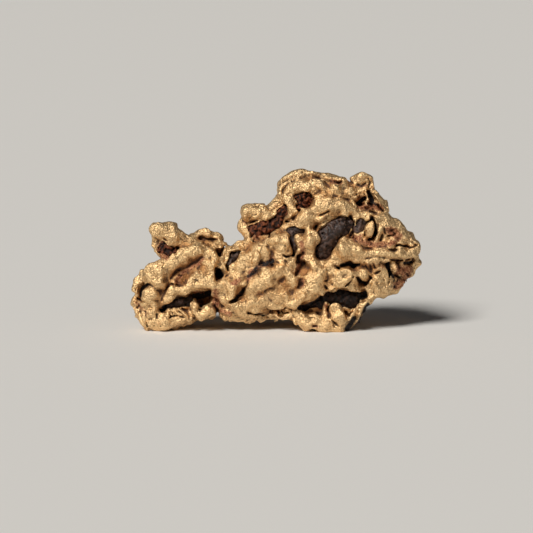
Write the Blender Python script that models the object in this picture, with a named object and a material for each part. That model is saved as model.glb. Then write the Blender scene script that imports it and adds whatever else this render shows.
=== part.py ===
"""A natural gold nugget with grains of dark ironstone caught in its hollows.

The gold is one body: thick cores with folds, knobs and beads laid over them, hollows cut
between the folds, and small flats worn on its feet. Each fold is a chain of balls joined by
hulls. The nugget is drawn face-on, x to the right, y away from the viewer and z up, in
millimetres, and then leans back on its feet the way it rests.
"""

import math

import bmesh
import bpy
from mathutils import Vector

MM = 0.001

# Driving dimensions.
LEAN_BACK = math.radians(8.0)  # the face-on drawing leans back by this much where it rests
FLOOR_UNDER_FACE = 0.6 * MM  # how far the floor shaves into the drawing at y = 0
GRAIN_CLEARANCE = 0.3 * MM  # free gap between a grain and the gold round it
GOLD_VOXEL = 0.28 * MM
HOLLOW_VOXEL = 0.31 * MM
GRAIN_VOXEL = 0.25 * MM
GOLD_TRIANGLES = 8000
GRAIN_TRIANGLES = 200
FOLD_STEP = 0.9 * MM  # spacing of the balls along a fold
SMOOTHING_PASSES = 2
LUMP_SIZE = 2.2 * MM  # spacing of the rounded lumps that roughen the gold
FRONT_LUMP_HEIGHT = 0.45 * MM
BACK_LUMP_HEIGHT = 0.9 * MM
SWELL_SIZE = 4.0 * MM  # slower swells that keep a fold from looking turned
SWELL_HEIGHT = 0.9 * MM

GOLD_COLOUR = (0.78, 0.52, 0.22, 1.0)
IRONSTONE_COLOUR = (0.045, 0.025, 0.02, 1.0)

# Folds, knobs and beads of gold: (x, y, z, radius) in millimetres, from one end to the other.
CORES = {
    "arm core": [(-19.2, 0.6, 5.4, 2.2), (-14.6, 0.8, 7.4, 2.6), (-9.8, 1.2, 8.8, 3.0), (-4.5, 1.4, 8.2, 3.7),
                 (1.0, 1.5, 8.6, 4.2)],
    "arm upper core": [(-17.6, 0.8, 9.4, 1.7), (-13.0, 0.8, 11.0, 2.0), (-8.6, 1.0, 11.2, 2.1)],
    "body core": [(4.0, 1.6, 9.0, 4.6), (8.0, 1.6, 13.0, 5.4), (11.6, 1.4, 15.4, 5.0), (8.8, 1.0, 20.0, 3.6)],
    "crown core": [(3.6, 1.0, 21.0, 2.8), (8.0, 1.2, 21.6, 3.0), (12.2, 1.0, 20.8, 2.8)],
    "lower core": [(6.4, 1.8, 5.2, 3.0), (11.0, 1.8, 7.6, 3.8), (14.6, 1.2, 9.4, 3.2)],
    "east core": [(13.0, 1.0, 13.2, 3.8), (17.4, 0.6, 13.6, 2.8), (20.2, 0.4, 12.8, 1.8)],
    "west finger core": [(-3.6, 0.6, 18.2, 1.3), (-0.6, 1.2, 17.6, 2.0), (3.0, 1.4, 17.6, 3.0)],
    "crescent wall": [(-21.5, -0.1, 5.2, 1.3), (-21.2, -0.1, 7.2, 1.4), (-19.8, 0.3, 8.6, 1.5)],
    "slot wall": [(-18.4, 1.4, 3.0, 1.6), (-15.4, 1.6, 3.6, 1.6), (-11.8, 1.6, 4.8, 1.8), (-8.8, 1.0, 5.2, 2.0)],
    "south wall": [(-8.6, 0.4, 4.4, 1.7), (-4.6, 0.5, 4.3, 1.9), (-0.6, 0.5, 4.5, 2.0), (2.6, 0.6, 4.4, 2.2)],
    "notch wall": [(-8.6, 0.5, 12.4, 1.5), (-6.4, 0.7, 11.7, 1.5), (-4.4, 1.0, 11.8, 1.7)],
    "finger wall": [(-3.8, 0.8, 15.8, 1.4), (-1.6, 1.4, 17.2, 2.0), (0.8, 1.4, 19.2, 2.2)],
    "finger underside": [(-2.8, 0.8, 14.2, 1.4), (0.2, 1.4, 14.6, 1.9), (2.6, 2.0, 15.0, 2.2)],
    "foot wall": [(3.4, 1.2, 3.2, 2.2), (7.0, 1.8, 2.6, 2.5), (10.4, 1.8, 2.8, 2.5), (12.9, 1.3, 4.8, 2.2)],
    "foot floor": [(4.4, -1.3, 1.7, 1.4), (7.6, -1.3, 1.3, 1.4), (10.6, -1.0, 1.6, 1.4)],
    "west foot floor": [(-19.2, -0.6, 1.5, 1.5), (-16.4, -0.7, 1.7, 1.5), (-13.4, -0.8, 2.6, 1.3), (-10.6, -0.8, 3.0, 1.2)],
    "sponge wall": [(13.8, 0.0, 21.2, 1.7), (15.4, 0.1, 20.4, 1.6), (16.4, 0.2, 18.6, 1.6)],
    "point wall": [(17.2, 0.2, 11.4, 1.8), (19.8, 0.1, 11.8, 1.7), (21.4, -0.2, 12.4, 1.1)],
    "centre filling": [(-7.4, -1.0, 7.4, 2.0), (-3.8, -1.3, 7.4, 2.4), (-0.2, -1.3, 8.4, 2.8), (3.4, -1.4, 8.8, 2.9)],
}

FRONT_FOLDS = {
    # The western arm, knob first, round its rim and down to its foot.
    "west knob": [(-18.3, -1.4, 15.8, 1.75), (-16.8, -1.5, 15.4, 1.75), (-15.4, -1.6, 14.6, 1.3),
                  (-13.6, -1.9, 14.0, 0.95), (-11.9, -2.0, 13.7, 0.8)],
    "cup rim": [(-18.9, -0.9, 14.6, 0.6), (-19.1, -1.0, 13.3, 0.5), (-18.4, -1.2, 12.2, 0.5),
                (-17.2, -1.5, 11.8, 0.5), (-15.8, -1.8, 12.2, 0.6)],
    "cup back": [(-17.8, 0.7, 13.4, 1.3), (-16.4, 0.6, 13.0, 1.3), (-15.2, 0.6, 12.6, 1.2)],
    "leaf": [(-13.9, 0.0, 15.0, 0.5), (-12.4, -0.2, 15.4, 0.85), (-10.6, -0.3, 15.6, 0.95), (-9.0, -0.2, 15.1, 0.75)],
    "leaf stalk": [(-12.9, -1.2, 14.3, 0.9), (-11.9, 0.2, 13.8, 1.2), (-10.6, 0.4, 13.6, 1.3)],
    "upper west fold": [(-19.6, -2.5, 8.2, 1.5), (-18.3, -2.9, 9.5, 1.6), (-16.3, -3.1, 11.1, 1.35),
                        (-14.2, -3.2, 12.2, 1.25), (-12.4, -3.1, 12.8, 1.15)],
    "west flap": [(-18.9, -3.0, 9.8, 1.5), (-18.7, -3.3, 8.4, 1.35), (-18.4, -3.3, 7.2, 0.8)],
    "upper west turn": [(-11.2, -2.9, 12.4, 1.2), (-10.1, -2.9, 11.6, 1.3), (-9.9, -2.8, 10.2, 1.1)],
    "arm crest": [(-10.6, -1.2, 13.5, 1.15), (-9.2, -1.3, 13.4, 1.1), (-8.0, -1.4, 12.8, 0.9)],
    "west rim": [(-20.4, -1.7, 9.6, 0.7), (-21.8, -1.3, 8.4, 0.7), (-22.3, -1.2, 6.8, 0.6), (-22.0, -1.3, 5.2, 0.6)],
    "west block": [(-19.9, -2.8, 6.2, 1.35), (-19.7, -2.7, 4.8, 1.35), (-19.0, -2.5, 3.9, 1.0)],
    "west foot": [(-22.0, -1.2, 4.4, 0.85), (-21.7, -1.6, 3.2, 0.9), (-20.9, -1.8, 1.9, 0.95), (-19.8, -1.9, 1.2, 0.95)],
    "west foot lobe": [(-19.2, -2.3, 1.8, 1.45), (-17.5, -2.4, 1.9, 1.6), (-15.8, -2.3, 2.1, 1.2),
                       (-14.2, -2.3, 2.5, 0.7)],
    "block foot": [(-20.6, -2.4, 3.4, 0.9), (-19.6, -2.6, 2.9, 0.8)],
    "middle west fold": [(-17.5, -2.9, 5.4, 1.0), (-15.8, -3.2, 6.5, 1.25), (-13.8, -3.4, 7.2, 1.35),
                         (-11.8, -3.5, 7.9, 1.3), (-9.6, -3.5, 7.4, 1.2)],
    "middle ridge east": [(-9.6, -3.5, 7.4, 1.2), (-7.4, -3.6, 7.5, 1.2), (-5.6, -3.7, 8.4, 1.0)],
    "trough end": [(-11.8, -3.2, 9.6, 1.1), (-10.6, -3.1, 10.2, 1.15), (-10.4, -3.0, 9.0, 1.1)],
    "trough floor": [(-16.2, -2.2, 8.2, 1.2), (-14.2, -2.3, 9.6, 1.3), (-12.4, -2.3, 10.6, 1.2)],
    "ridge meeting": [(-10.6, -3.0, 9.6, 1.25), (-9.9, -3.2, 8.4, 1.25), (-9.4, -3.2, 7.6, 1.1)],
    "slot curl": [(-16.0, -2.6, 4.0, 0.42), (-14.8, -2.9, 3.2, 0.5), (-13.7, -2.7, 2.3, 0.5)],
    "heart": [(-12.9, -3.4, 4.5, 0.8), (-12.9, -3.4, 3.2, 0.85), (-11.5, -3.3, 2.9, 0.65), (-10.5, -3.6, 3.7, 1.05)],
    "stained neck": [(-9.4, -1.9, 6.7, 0.9), (-9.3, -1.8, 5.0, 0.9), (-9.2, -1.7, 3.2, 0.8)],
    "hole divider": [(-7.8, -2.5, 12.8, 0.55), (-8.3, -2.8, 11.5, 0.5), (-8.2, -2.9, 10.4, 0.45),
                     (-7.5, -2.9, 9.4, 0.5)],
    "notch bump": [(-6.4, -1.6, 13.2, 1.0), (-5.4, -1.8, 13.2, 1.15), (-3.9, -2.1, 12.7, 1.0)],
    # The centre, where broad folds run up to the right.
    "upper centre fold": [(-6.6, -3.3, 9.6, 0.9), (-5.1, -3.6, 10.8, 1.15), (-3.3, -3.8, 12.2, 1.45),
                          (-1.5, -3.8, 13.0, 1.4), (0.6, -3.8, 14.2, 1.75)],
    "fold root": [(-6.6, -3.4, 10.2, 1.0), (-6.2, -3.5, 9.3, 0.9), (-5.4, -3.7, 8.7, 0.8)],
    "centre knuckle": [(0.6, -3.9, 12.0, 1.2), (1.8, -3.9, 12.4, 1.0)],
    "lower centre fold": [(-4.4, -3.9, 5.4, 0.9), (-3.4, -4.0, 7.2, 1.35), (-1.9, -4.0, 8.6, 1.75),
                          (0.2, -4.0, 9.6, 1.65), (2.0, -4.0, 10.6, 1.4), (2.8, -4.0, 11.5, 1.0)],
    "south lump": [(-8.0, -3.1, 6.6, 1.5), (-6.8, -3.3, 5.4, 1.5), (-6.6, -3.3, 4.4, 1.35)],
    "south apron": [(-7.9, -2.5, 3.4, 1.0), (-5.8, -2.9, 3.6, 1.3), (-3.4, -2.9, 4.0, 1.35), (-1.0, -2.9, 4.6, 1.4),
                    (1.2, -3.1, 5.0, 1.5)],
    "stained sag": [(-3.0, -3.3, 5.2, 1.4), (-0.8, -3.5, 6.2, 1.5), (1.4, -3.6, 7.6, 1.6), (3.0, -3.7, 9.2, 1.5)],
    "south lip": [(-7.8, -2.0, 2.7, 0.6), (-5.8, -1.9, 2.3, 0.55), (-2.2, -1.7, 2.3, 0.5), (1.4, -1.8, 2.5, 0.55)],
    "great bulge": [(6.0, -4.0, 8.6, 1.9), (5.6, -4.1, 6.8, 1.95), (3.8, -4.0, 5.4, 1.6), (2.0, -3.7, 4.8, 1.3)],
    "tear lump": [(5.4, -4.2, 16.4, 0.9), (5.5, -4.6, 14.8, 1.35), (5.0, -4.5, 13.4, 0.9)],
    # The crown and the western finger.
    "crown ridge": [(1.0, -0.6, 22.8, 1.0), (2.2, -0.8, 24.1, 1.1), (4.3, -0.9, 24.9, 1.05), (6.8, -0.9, 24.4, 1.05),
                    (9.1, -0.9, 23.8, 1.2), (11.4, -0.8, 23.3, 1.1)],
    "crown face": [(1.9, -1.9, 21.8, 1.2), (3.2, -2.2, 23.2, 1.1), (5.5, -2.6, 23.0, 1.3), (7.9, -2.7, 22.5, 1.4),
                   (10.4, -2.5, 22.0, 1.5), (12.4, -2.1, 21.6, 1.3)],
    "crown cheek": [(2.0, -2.5, 20.4, 1.1), (2.5, -2.9, 18.9, 1.1)],
    "long fold": [(3.2, -3.3, 17.8, 1.2), (4.9, -3.6, 18.9, 1.35), (7.0, -3.7, 19.9, 1.5), (9.5, -3.7, 20.3, 1.4),
                  (11.4, -3.4, 19.9, 1.1), (12.8, -3.2, 19.0, 0.9)],
    "stone brow": [(4.6, -4.0, 17.6, 1.1), (6.6, -4.0, 18.2, 1.0)],
    "shoulder bead": [(-0.3, -1.2, 20.4, 0.85), (0.9, -1.4, 20.6, 0.9)],
    "finger top": [(-4.6, -1.8, 18.9, 1.25), (-2.6, -2.0, 19.1, 1.35), (-1.0, -1.9, 19.3, 1.05), (0.2, -1.7, 19.9, 0.9)],
    "finger tip": [(-5.2, -1.2, 17.3, 0.65), (-4.9, -1.6, 16.2, 0.8), (-4.4, -1.8, 15.2, 0.75), (-3.4, -2.0, 14.3, 0.75),
                   (-2.2, -2.2, 14.2, 0.7)],
    "cavity sill": [(-2.2, -2.2, 14.8, 0.8), (-0.6, -2.4, 15.4, 0.9), (1.0, -2.6, 16.2, 0.8)],
    # The east, round the big stone and out to the point.
    "crown knob": [(13.6, -1.4, 24.1, 1.5), (13.2, -1.2, 22.6, 1.1)],
    "knob curl": [(14.9, -1.0, 24.1, 0.35), (15.2, -1.0, 23.1, 0.35)],
    "sponge rim": [(14.4, -1.6, 22.9, 0.6), (15.8, -1.6, 21.8, 0.55), (16.8, -1.6, 20.5, 0.6), (17.4, -1.6, 19.5, 0.45)],
    "sponge floor": [(13.6, -2.2, 19.2, 0.9), (15.4, -2.2, 18.8, 0.9), (17.0, -1.6, 18.4, 0.8)],
    "stone finger": [(15.0, -3.9, 18.2, 0.9), (14.8, -4.2, 16.9, 0.95), (14.7, -4.2, 15.6, 0.9)],
    "slit wall": [(17.0, -3.2, 18.0, 1.0), (16.9, -3.4, 16.4, 0.7), (16.6, -3.5, 14.9, 0.6)],
    "east cheek skin": [(17.4, -2.8, 17.0, 1.3), (18.7, -2.5, 15.9, 1.3), (19.9, -2.3, 15.1, 1.2)],
    "east shoulder": [(17.8, -1.4, 17.4, 1.1), (19.5, -1.6, 16.1, 1.1), (21.0, -1.8, 14.9, 1.1), (21.8, -1.9, 13.7, 0.9)],
    "shelf lump": [(10.2, -4.0, 12.6, 1.4), (11.0, -4.2, 13.2, 1.8), (12.2, -4.2, 12.8, 1.5)],
    "shelf": [(12.2, -4.3, 12.5, 1.3), (14.0, -4.4, 12.1, 1.1), (16.2, -4.3, 12.2, 1.05), (18.4, -3.9, 12.3, 1.0),
              (20.4, -3.2, 12.5, 1.0), (22.0, -2.3, 12.9, 0.85)],
    "shelf body": [(11.6, -2.4, 12.0, 1.8), (14.8, -2.4, 11.8, 1.6), (18.0, -1.8, 12.0, 1.5)],
    "stone sill": [(5.0, -4.2, 12.2, 0.9), (6.4, -4.4, 11.3, 1.05), (7.6, -4.4, 10.2, 1.0), (9.0, -4.3, 10.9, 0.95),
                   (9.6, -4.2, 11.6, 0.9)],
    "egg fold": [(9.6, -4.3, 8.0, 1.3), (10.9, -4.5, 8.8, 1.4), (12.6, -4.3, 9.3, 0.9), (14.5, -4.0, 9.1, 0.85),
                 (15.8, -3.6, 8.3, 0.85)],
    "egg bead": [(8.2, -4.0, 7.3, 0.75), (9.2, -4.1, 6.7, 0.65)],
    "cheek top": [(14.2, -3.6, 10.0, 0.75), (15.6, -3.4, 10.5, 1.0), (17.0, -3.0, 10.0, 1.1)],
    "cheek low": [(13.9, -2.8, 7.9, 1.0), (15.2, -3.0, 7.3, 1.15), (16.6, -2.6, 7.0, 1.0)],
    "cheek filling": [(12.0, -1.6, 8.4, 1.9), (15.2, -1.4, 8.6, 2.1), (17.0, -1.0, 9.0, 1.8)],
    "east cheek": [(16.2, -3.2, 11.2, 0.7), (17.1, -2.7, 9.7, 1.05), (17.5, -2.4, 8.0, 1.15), (16.6, -2.6, 6.8, 0.95),
                   (15.3, -3.0, 6.9, 0.85)],
    "tooth": [(12.2, -3.6, 8.6, 0.8), (12.2, -3.9, 7.2, 0.85), (11.9, -4.0, 6.2, 0.6)],
    "point underside": [(18.4, -1.4, 10.6, 1.1), (19.8, -1.2, 10.0, 1.2), (21.2, -0.8, 10.2, 1.1),
                        (22.0, -0.8, 11.4, 0.9)],
    # The eastern foot, with its egg and the thin strand that closes the lower hollow.
    "east foot": [(3.4, -3.0, 2.7, 1.1), (4.6, -3.2, 1.7, 1.25)],
    "east foot toe": [(6.2, -3.1, 1.6, 1.25), (8.0, -3.2, 1.15, 1.25), (9.6, -3.0, 0.95, 1.1), (10.9, -2.6, 1.2, 0.9)],
    "foot egg": [(9.8, -3.4, 3.4, 1.35), (10.0, -3.3, 2.4, 1.2)],
    "foot neck": [(7.9, -2.6, 3.8, 0.7), (8.0, -2.8, 2.4, 0.8)],
    "strand": [(16.2, -2.9, 6.4, 0.6), (14.8, -3.1, 5.3, 0.5), (13.6, -3.0, 4.2, 0.5), (12.3, -2.9, 3.0, 0.5),
               (11.0, -2.8, 2.0, 0.65)],
    "strand fork": [(13.6, -3.0, 4.2, 0.5), (13.2, -2.7, 2.8, 0.45), (12.3, -2.3, 1.4, 0.55)],
}

BACK_FOLDS = {
    "back west knob": [(-18.0, 0.6, 15.4, 1.3), (-16.6, 1.4, 13.6, 1.3), (-15.4, 2.2, 11.8, 1.2)],
    "back arm top": [(-19.4, 2.0, 8.4, 1.3), (-16.0, 2.6, 10.4, 1.4), (-12.4, 2.9, 12.2, 1.4), (-8.8, 2.8, 12.6, 1.2)],
    "back arm middle": [(-20.4, 1.6, 5.2, 1.3), (-16.6, 2.8, 6.0, 1.4), (-12.6, 3.6, 7.8, 1.4), (-8.4, 4.0, 9.4, 1.5)],
    "back arm foot": [(-19.8, 1.8, 1.4, 1.5), (-17.2, 2.6, 1.2, 1.5), (-14.4, 3.0, 2.6, 1.2), (-10.8, 3.2, 4.4, 1.1)],
    "back low fold": [(-9.2, 3.4, 5.0, 1.3), (-5.4, 4.2, 4.6, 1.4), (-1.4, 4.8, 5.0, 1.5), (2.6, 5.0, 4.2, 1.5)],
    "back centre fold": [(-6.0, 4.0, 11.6, 1.2), (-2.4, 4.8, 10.8, 1.5), (1.6, 5.6, 11.4, 1.7), (5.2, 6.0, 13.4, 1.6)],
    "back finger fold": [(-3.6, 1.8, 18.2, 1.1), (-0.8, 2.8, 18.4, 1.4), (1.6, 3.6, 17.0, 1.4), (3.0, 4.8, 15.2, 1.3)],
    "back crown": [(2.4, 2.6, 23.2, 1.3), (5.8, 3.4, 23.4, 1.5), (9.4, 3.4, 22.8, 1.4), (12.8, 2.4, 22.0, 1.4)],
    "back long fold": [(3.6, 4.2, 20.0, 1.4), (7.0, 5.4, 19.0, 1.7), (10.6, 5.6, 17.2, 1.7), (13.2, 5.0, 15.0, 1.5)],
    "back east fold": [(12.4, 3.6, 19.2, 1.4), (15.6, 3.0, 17.4, 1.4), (18.4, 2.2, 15.4, 1.4), (20.6, 1.4, 13.8, 1.3)],
    "back belly": [(5.8, 6.0, 9.4, 1.7), (9.2, 6.6, 11.4, 1.7), (12.6, 5.8, 11.8, 1.5), (16.4, 3.8, 11.8, 1.4)],
    "back south east": [(6.4, 5.2, 6.0, 1.6), (10.2, 5.8, 7.4, 1.6), (14.0, 5.0, 8.2, 1.5), (17.6, 2.8, 9.2, 1.3)],
    "back foot": [(4.8, 4.6, 1.6, 1.5), (7.6, 5.4, 0.6, 1.6), (10.4, 5.2, 0.8, 1.6), (12.4, 4.4, 2.8, 1.5),
                  (13.2, 4.0, 5.4, 1.4)],
}

# Hollows cut into the gold: each ball chain is swept this far towards the back, narrowing.
HOLLOWS = {
    "seam pits": (0.6, [(3.0, -5.2, 13.0, 0.3), (3.8, -5.2, 12.0, 0.4), (3.5, -5.2, 11.2, 0.25), (3.8, -5.3, 10.5, 0.4),
                        (3.3, -5.3, 9.4, 0.3)]),
    "cup": (1.2, [(-17.9, -3.0, 13.2, 0.85), (-17.4, -3.0, 12.8, 0.7)]),
    "cup hole": (1.6, [(-16.2, -2.6, 13.1, 0.45)]),
    "leaf crack": (0.4, [(-11.6, -1.3, 14.75, 0.22), (-10.0, -1.3, 14.7, 0.28)]),
    "west trough": (0.8, [(-15.5, -4.5, 7.9, 0.8), (-14.2, -4.6, 9.3, 1.0), (-12.4, -4.5, 10.9, 0.8)]),
    "west crescent": (2.4, [(-21.6, -3.0, 5.2, 0.4), (-21.3, -3.2, 6.6, 0.6), (-20.4, -3.4, 7.7, 0.55)]),
    "slot": (3.4, [(-18.1, -4.4, 3.7, 0.35), (-16.6, -4.6, 4.4, 0.55), (-14.7, -4.8, 4.9, 0.75), (-12.8, -5.0, 5.9, 0.7),
                   (-10.7, -5.0, 6.5, 0.45)]),
    "round hole": (3.6, [(-8.9, -4.4, 9.5, 0.9)]),
    "crest pit": (1.2, [(-8.9, -3.2, 12.9, 0.35), (-8.7, -3.6, 12.2, 0.3)]),
    "notch": (3.0, [(-6.9, -3.8, 12.3, 0.7), (-6.3, -4.0, 11.9, 0.85), (-7.4, -4.2, 11.0, 0.6), (-7.2, -4.2, 10.2, 0.4)]),
    "centre groove": (1.9, [(-4.5, -5.4, 8.4, 0.35), (-3.8, -5.6, 9.6, 0.65), (-2.2, -5.8, 10.5, 0.45),
                            (-0.7, -5.8, 11.1, 0.6), (-0.5, -5.6, 12.1, 0.35)]),
    "south groove": (1.7, [(-7.1, -5.0, 5.0, 0.22), (-6.0, -5.2, 5.6, 0.42), (-5.3, -5.3, 6.7, 0.4),
                           (-4.8, -5.3, 7.8, 0.25)]),
    "sag": (1.0, [(-2.8, -5.8, 5.9, 0.8), (-0.4, -5.9, 6.9, 1.0), (2.4, -5.9, 8.4, 0.9), (3.2, -5.8, 10.2, 0.6)]),
    "south undercut": (1.5, [(-4.4, -4.2, 3.05, 0.3), (-2.0, -4.2, 3.2, 0.38), (1.0, -4.2, 3.3, 0.35)]),
    "neck crack": (1.6, [(-9.4, -3.4, 3.4, 0.3), (-9.3, -3.2, 2.2, 0.35)]),
    "east trough": (0.8, [(12.8, -5.2, 14.6, 0.6), (14.8, -5.2, 14.0, 0.7), (17.0, -4.9, 14.3, 0.7),
                          (18.8, -4.6, 14.7, 0.6)]),
    "point mouth": (1.6, [(19.4, -4.4, 13.9, 0.25), (20.8, -3.9, 13.75, 0.28), (22.2, -3.2, 13.9, 0.25)]),
    "stone slit": (2.0, [(15.5, -5.2, 18.2, 0.25), (16.0, -5.2, 16.8, 0.38), (15.8, -5.2, 15.4, 0.35)]),
    "sponge": (1.2, [(13.5, -3.4, 20.3, 0.5), (13.4, -3.4, 20.9, 0.4)]),
    "sponge pit": (1.3, [(15.1, -3.4, 21.6, 0.4), (15.4, -3.2, 20.4, 0.5)]),
    "shelf hollow": (2.6, [(9.8, -5.4, 10.5, 0.35), (11.2, -5.6, 10.8, 0.6), (12.8, -5.6, 10.7, 0.6),
                           (14.6, -5.2, 11.0, 0.35)]),
    "east gap": (2.4, [(17.9, -4.2, 11.0, 0.35), (18.3, -3.8, 9.6, 0.45), (19.2, -2.8, 7.6, 0.6)]),
    "cheek hollow": (1.6, [(13.1, -5.2, 8.4, 0.35), (13.8, -5.0, 7.9, 0.45), (14.9, -4.9, 8.3, 0.3)]),
    "brow crease": (0.8, [(3.6, -5.2, 19.6, 0.2), (2.6, -4.4, 18.2, 0.25), (1.6, -3.9, 17.6, 0.25)]),
    "back trough west": (-1.6, [(-17.4, 4.6, 8.0, 0.8), (-13.6, 5.2, 9.6, 0.8), (-9.6, 5.4, 11.2, 0.7)]),
    "back slot": (-2.2, [(-15.6, 5.2, 4.2, 0.8), (-11.4, 5.8, 6.2, 0.8), (-7.6, 6.2, 7.2, 0.7)]),
    "back pocket": (-2.6, [(-3.2, 7.4, 7.6, 0.9), (0.8, 8.0, 8.2, 1.1)]),
    "back notch": (-2.2, [(-2.0, 6.4, 14.0, 0.8), (0.6, 7.0, 14.2, 0.9)]),
    "back valley": (-2.0, [(6.4, 9.0, 15.6, 0.9), (9.4, 9.2, 14.4, 1.0), (12.6, 8.2, 13.4, 0.8)]),
    "back hole": (-3.0, [(8.6, 7.6, 20.9, 0.9), (10.0, 7.4, 20.0, 0.8)]),
    "back east dip": (-1.8, [(15.4, 6.2, 14.8, 0.8), (18.0, 5.4, 13.6, 0.7)]),
    "back south pocket": (-2.2, [(8.4, 8.8, 9.0, 0.7), (12.2, 8.2, 9.8, 0.8)]),
    "back foot arch": (-2.4, [(3.6, 7.4, 3.6, 0.7), (8.0, 8.0, 3.8, 0.9), (10.6, 7.8, 3.6, 0.7)]),
}

# Ironstone grains: what the gold grew round. Each sits in a pocket of its own shape.
GRAINS = {
    "ironstone_cup": [(-17.8, -2.0, 13.4, 0.7), (-17.2, -2.0, 12.7, 0.75)],
    "ironstone_slot": [(-16.9, -2.2, 4.0, 0.55), (-15.4, -2.2, 4.6, 0.85), (-13.8, -2.2, 5.0, 0.85)],
    "ironstone_centre": [(7.6, -2.7, 12.6, 1.05), (8.0, -2.9, 14.0, 1.4), (8.7, -3.1, 15.6, 1.75),
                         (9.9, -3.2, 16.7, 1.7), (11.0, -3.1, 17.1, 1.3)],
    "ironstone_east": [(13.6, -3.0, 17.2, 0.9), (13.8, -3.0, 16.3, 0.85)],
    "ironstone_crown": [(4.1, -1.9, 21.3, 1.15), (4.8, -1.9, 20.9, 1.05), (4.1, -2.1, 20.3, 0.85)],
    "ironstone_finger": [(1.5, -1.8, 19.8, 0.65), (0.5, -1.8, 18.5, 1.1), (-0.6, -1.8, 17.3, 1.25),
                         (-2.2, -1.8, 16.5, 1.15), (-3.6, -1.7, 16.1, 0.7)],
    "ironstone_seam": [(4.4, -3.2, 16.4, 0.6), (3.1, -3.3, 16.2, 0.95), (1.9, -3.2, 16.2, 0.65), (2.5, -3.4, 15.2, 0.6),
                       (2.5, -3.8, 13.6, 0.5)],
    "ironstone_notch": [(-6.3, -2.2, 12.3, 0.75), (-7.0, -2.4, 11.2, 0.75)],
    "ironstone_foot": [(4.4, -2.0, 4.1, 0.75), (7.0, -2.1, 4.8, 1.0), (9.4, -2.2, 5.6, 1.1), (11.5, -2.2, 5.3, 1.4),
                       (12.0, -2.1, 5.4, 1.15)],
}


def smooth_route(route):
    """Balls every FOLD_STEP along a smooth curve through a route's own balls, in metres."""
    balls = [Vector(ball) * MM for ball in route]
    if len(balls) == 1:
        return balls
    ends = [2 * balls[0] - balls[1], *balls, 2 * balls[-1] - balls[-2]]
    found = []
    for before, start, end, after in zip(ends, ends[1:], ends[2:], ends[3:]):
        steps = max(1, math.ceil((end - start).xyz.length / FOLD_STEP))
        for step in range(steps):
            t = step / steps
            found.append(
                0.5 * (2 * start + (end - before) * t
                       + (2 * before - 5 * start + 4 * end - after) * t ** 2
                       + (3 * start - before - 3 * end + after) * t ** 3))
    return found + [balls[-1]]


def unit_ball():
    """Directions of the corners of a once-subdivided icosahedron."""
    ball = bmesh.new()
    bmesh.ops.create_icosphere(ball, subdivisions=2, radius=1.0)
    directions = [corner.co.copy() for corner in ball.verts]
    ball.free()
    return directions


BALL = unit_ball()


def add_hull(shape, balls):
    """Adds the closed hull of a few balls, each an (x, y, z, radius) vector, to a bmesh."""
    corners = [shape.verts.new(ball.xyz + ball.w * way) for ball in balls for way in BALL]
    hull = bmesh.ops.convex_hull(shape, input=corners, use_existing_faces=False)
    spare = {item for key in ("geom_interior", "geom_unused") for item in hull[key]}
    bmesh.ops.delete(shape, geom=[v for v in spare if isinstance(v, bmesh.types.BMVert)], context="VERTS")


def add_fold(shape, route, swell=0.0, sweep=0.0):
    """Adds a chain of hulls along a route. A sweep carries the chain back in y, to a narrower copy."""
    balls = smooth_route(route)
    for ball in balls:
        ball.w += swell
    pairs = list(zip(balls, balls[1:])) or [(balls[0],)]
    for pair in pairs:
        deep = [Vector((b.x, b.y + sweep, b.z, 0.7 * b.w)) for b in pair] if sweep else []
        add_hull(shape, [*pair, *deep])


def new_object(name, shape):
    mesh = bpy.data.meshes.new(name)
    shape.to_mesh(mesh)
    shape.free()
    made = bpy.data.objects.new(name, mesh)
    bpy.context.scene.collection.objects.link(made)
    return made


def add_remesh(obj, voxel):
    remesh = obj.modifiers.new("one skin", "REMESH")
    remesh.mode = "VOXEL"
    remesh.voxel_size = voxel
    remesh.adaptivity = 0.0
    return remesh


def add_lumps(obj, kind, size, height):
    """Rounded lumps of one texture kind, pushed along the surface's own normals."""
    texture = bpy.data.textures.new(f"{kind.lower()} lumps", kind)
    texture.noise_scale = size
    lumps = obj.modifiers.new(texture.name, "DISPLACE")
    lumps.texture = texture
    lumps.texture_coords = "LOCAL"
    lumps.strength = height
    lumps.mid_level = 0.5


def add_smooth(obj, passes):
    smooth = obj.modifiers.new("soft edges", "SMOOTH")
    smooth.factor = 0.5
    smooth.iterations = passes


def add_boolean(obj, other, operation):
    change = obj.modifiers.new(other.name, "BOOLEAN")
    change.operation = operation
    change.object = other
    other.hide_render = True
    other.display_type = "WIRE"


def thin_to(obj, triangles):
    """Collapses edges until the object has about this many triangles."""
    graph = bpy.context.evaluated_depsgraph_get()
    evaluated = obj.evaluated_get(graph)
    mesh = evaluated.to_mesh()
    mesh.calc_loop_triangles()
    count = len(mesh.loop_triangles)
    evaluated.to_mesh_clear()
    thin = obj.modifiers.new("fewer faces", "DECIMATE")
    thin.ratio = min(1.0, triangles / count)
    thin.use_collapse_triangulate = True


def metal_material(name, colour, roughness, metallic):
    material = bpy.data.materials.new(name)
    material.use_nodes = True
    surface = material.node_tree.nodes["Principled BSDF"]
    surface.inputs["Base Color"].default_value = colour
    surface.inputs["Roughness"].default_value = roughness
    surface.inputs["Metallic"].default_value = metallic
    return material


def make_grain(name, route, material):
    """One lump of ironstone, a little angular."""
    shape = bmesh.new()
    add_fold(shape, route)
    grain = new_object(name, shape)
    add_remesh(grain, GRAIN_VOXEL)
    add_smooth(grain, SMOOTHING_PASSES)
    thin_to(grain, GRAIN_TRIANGLES)
    grain.data.materials.append(material)
    return grain


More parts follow.
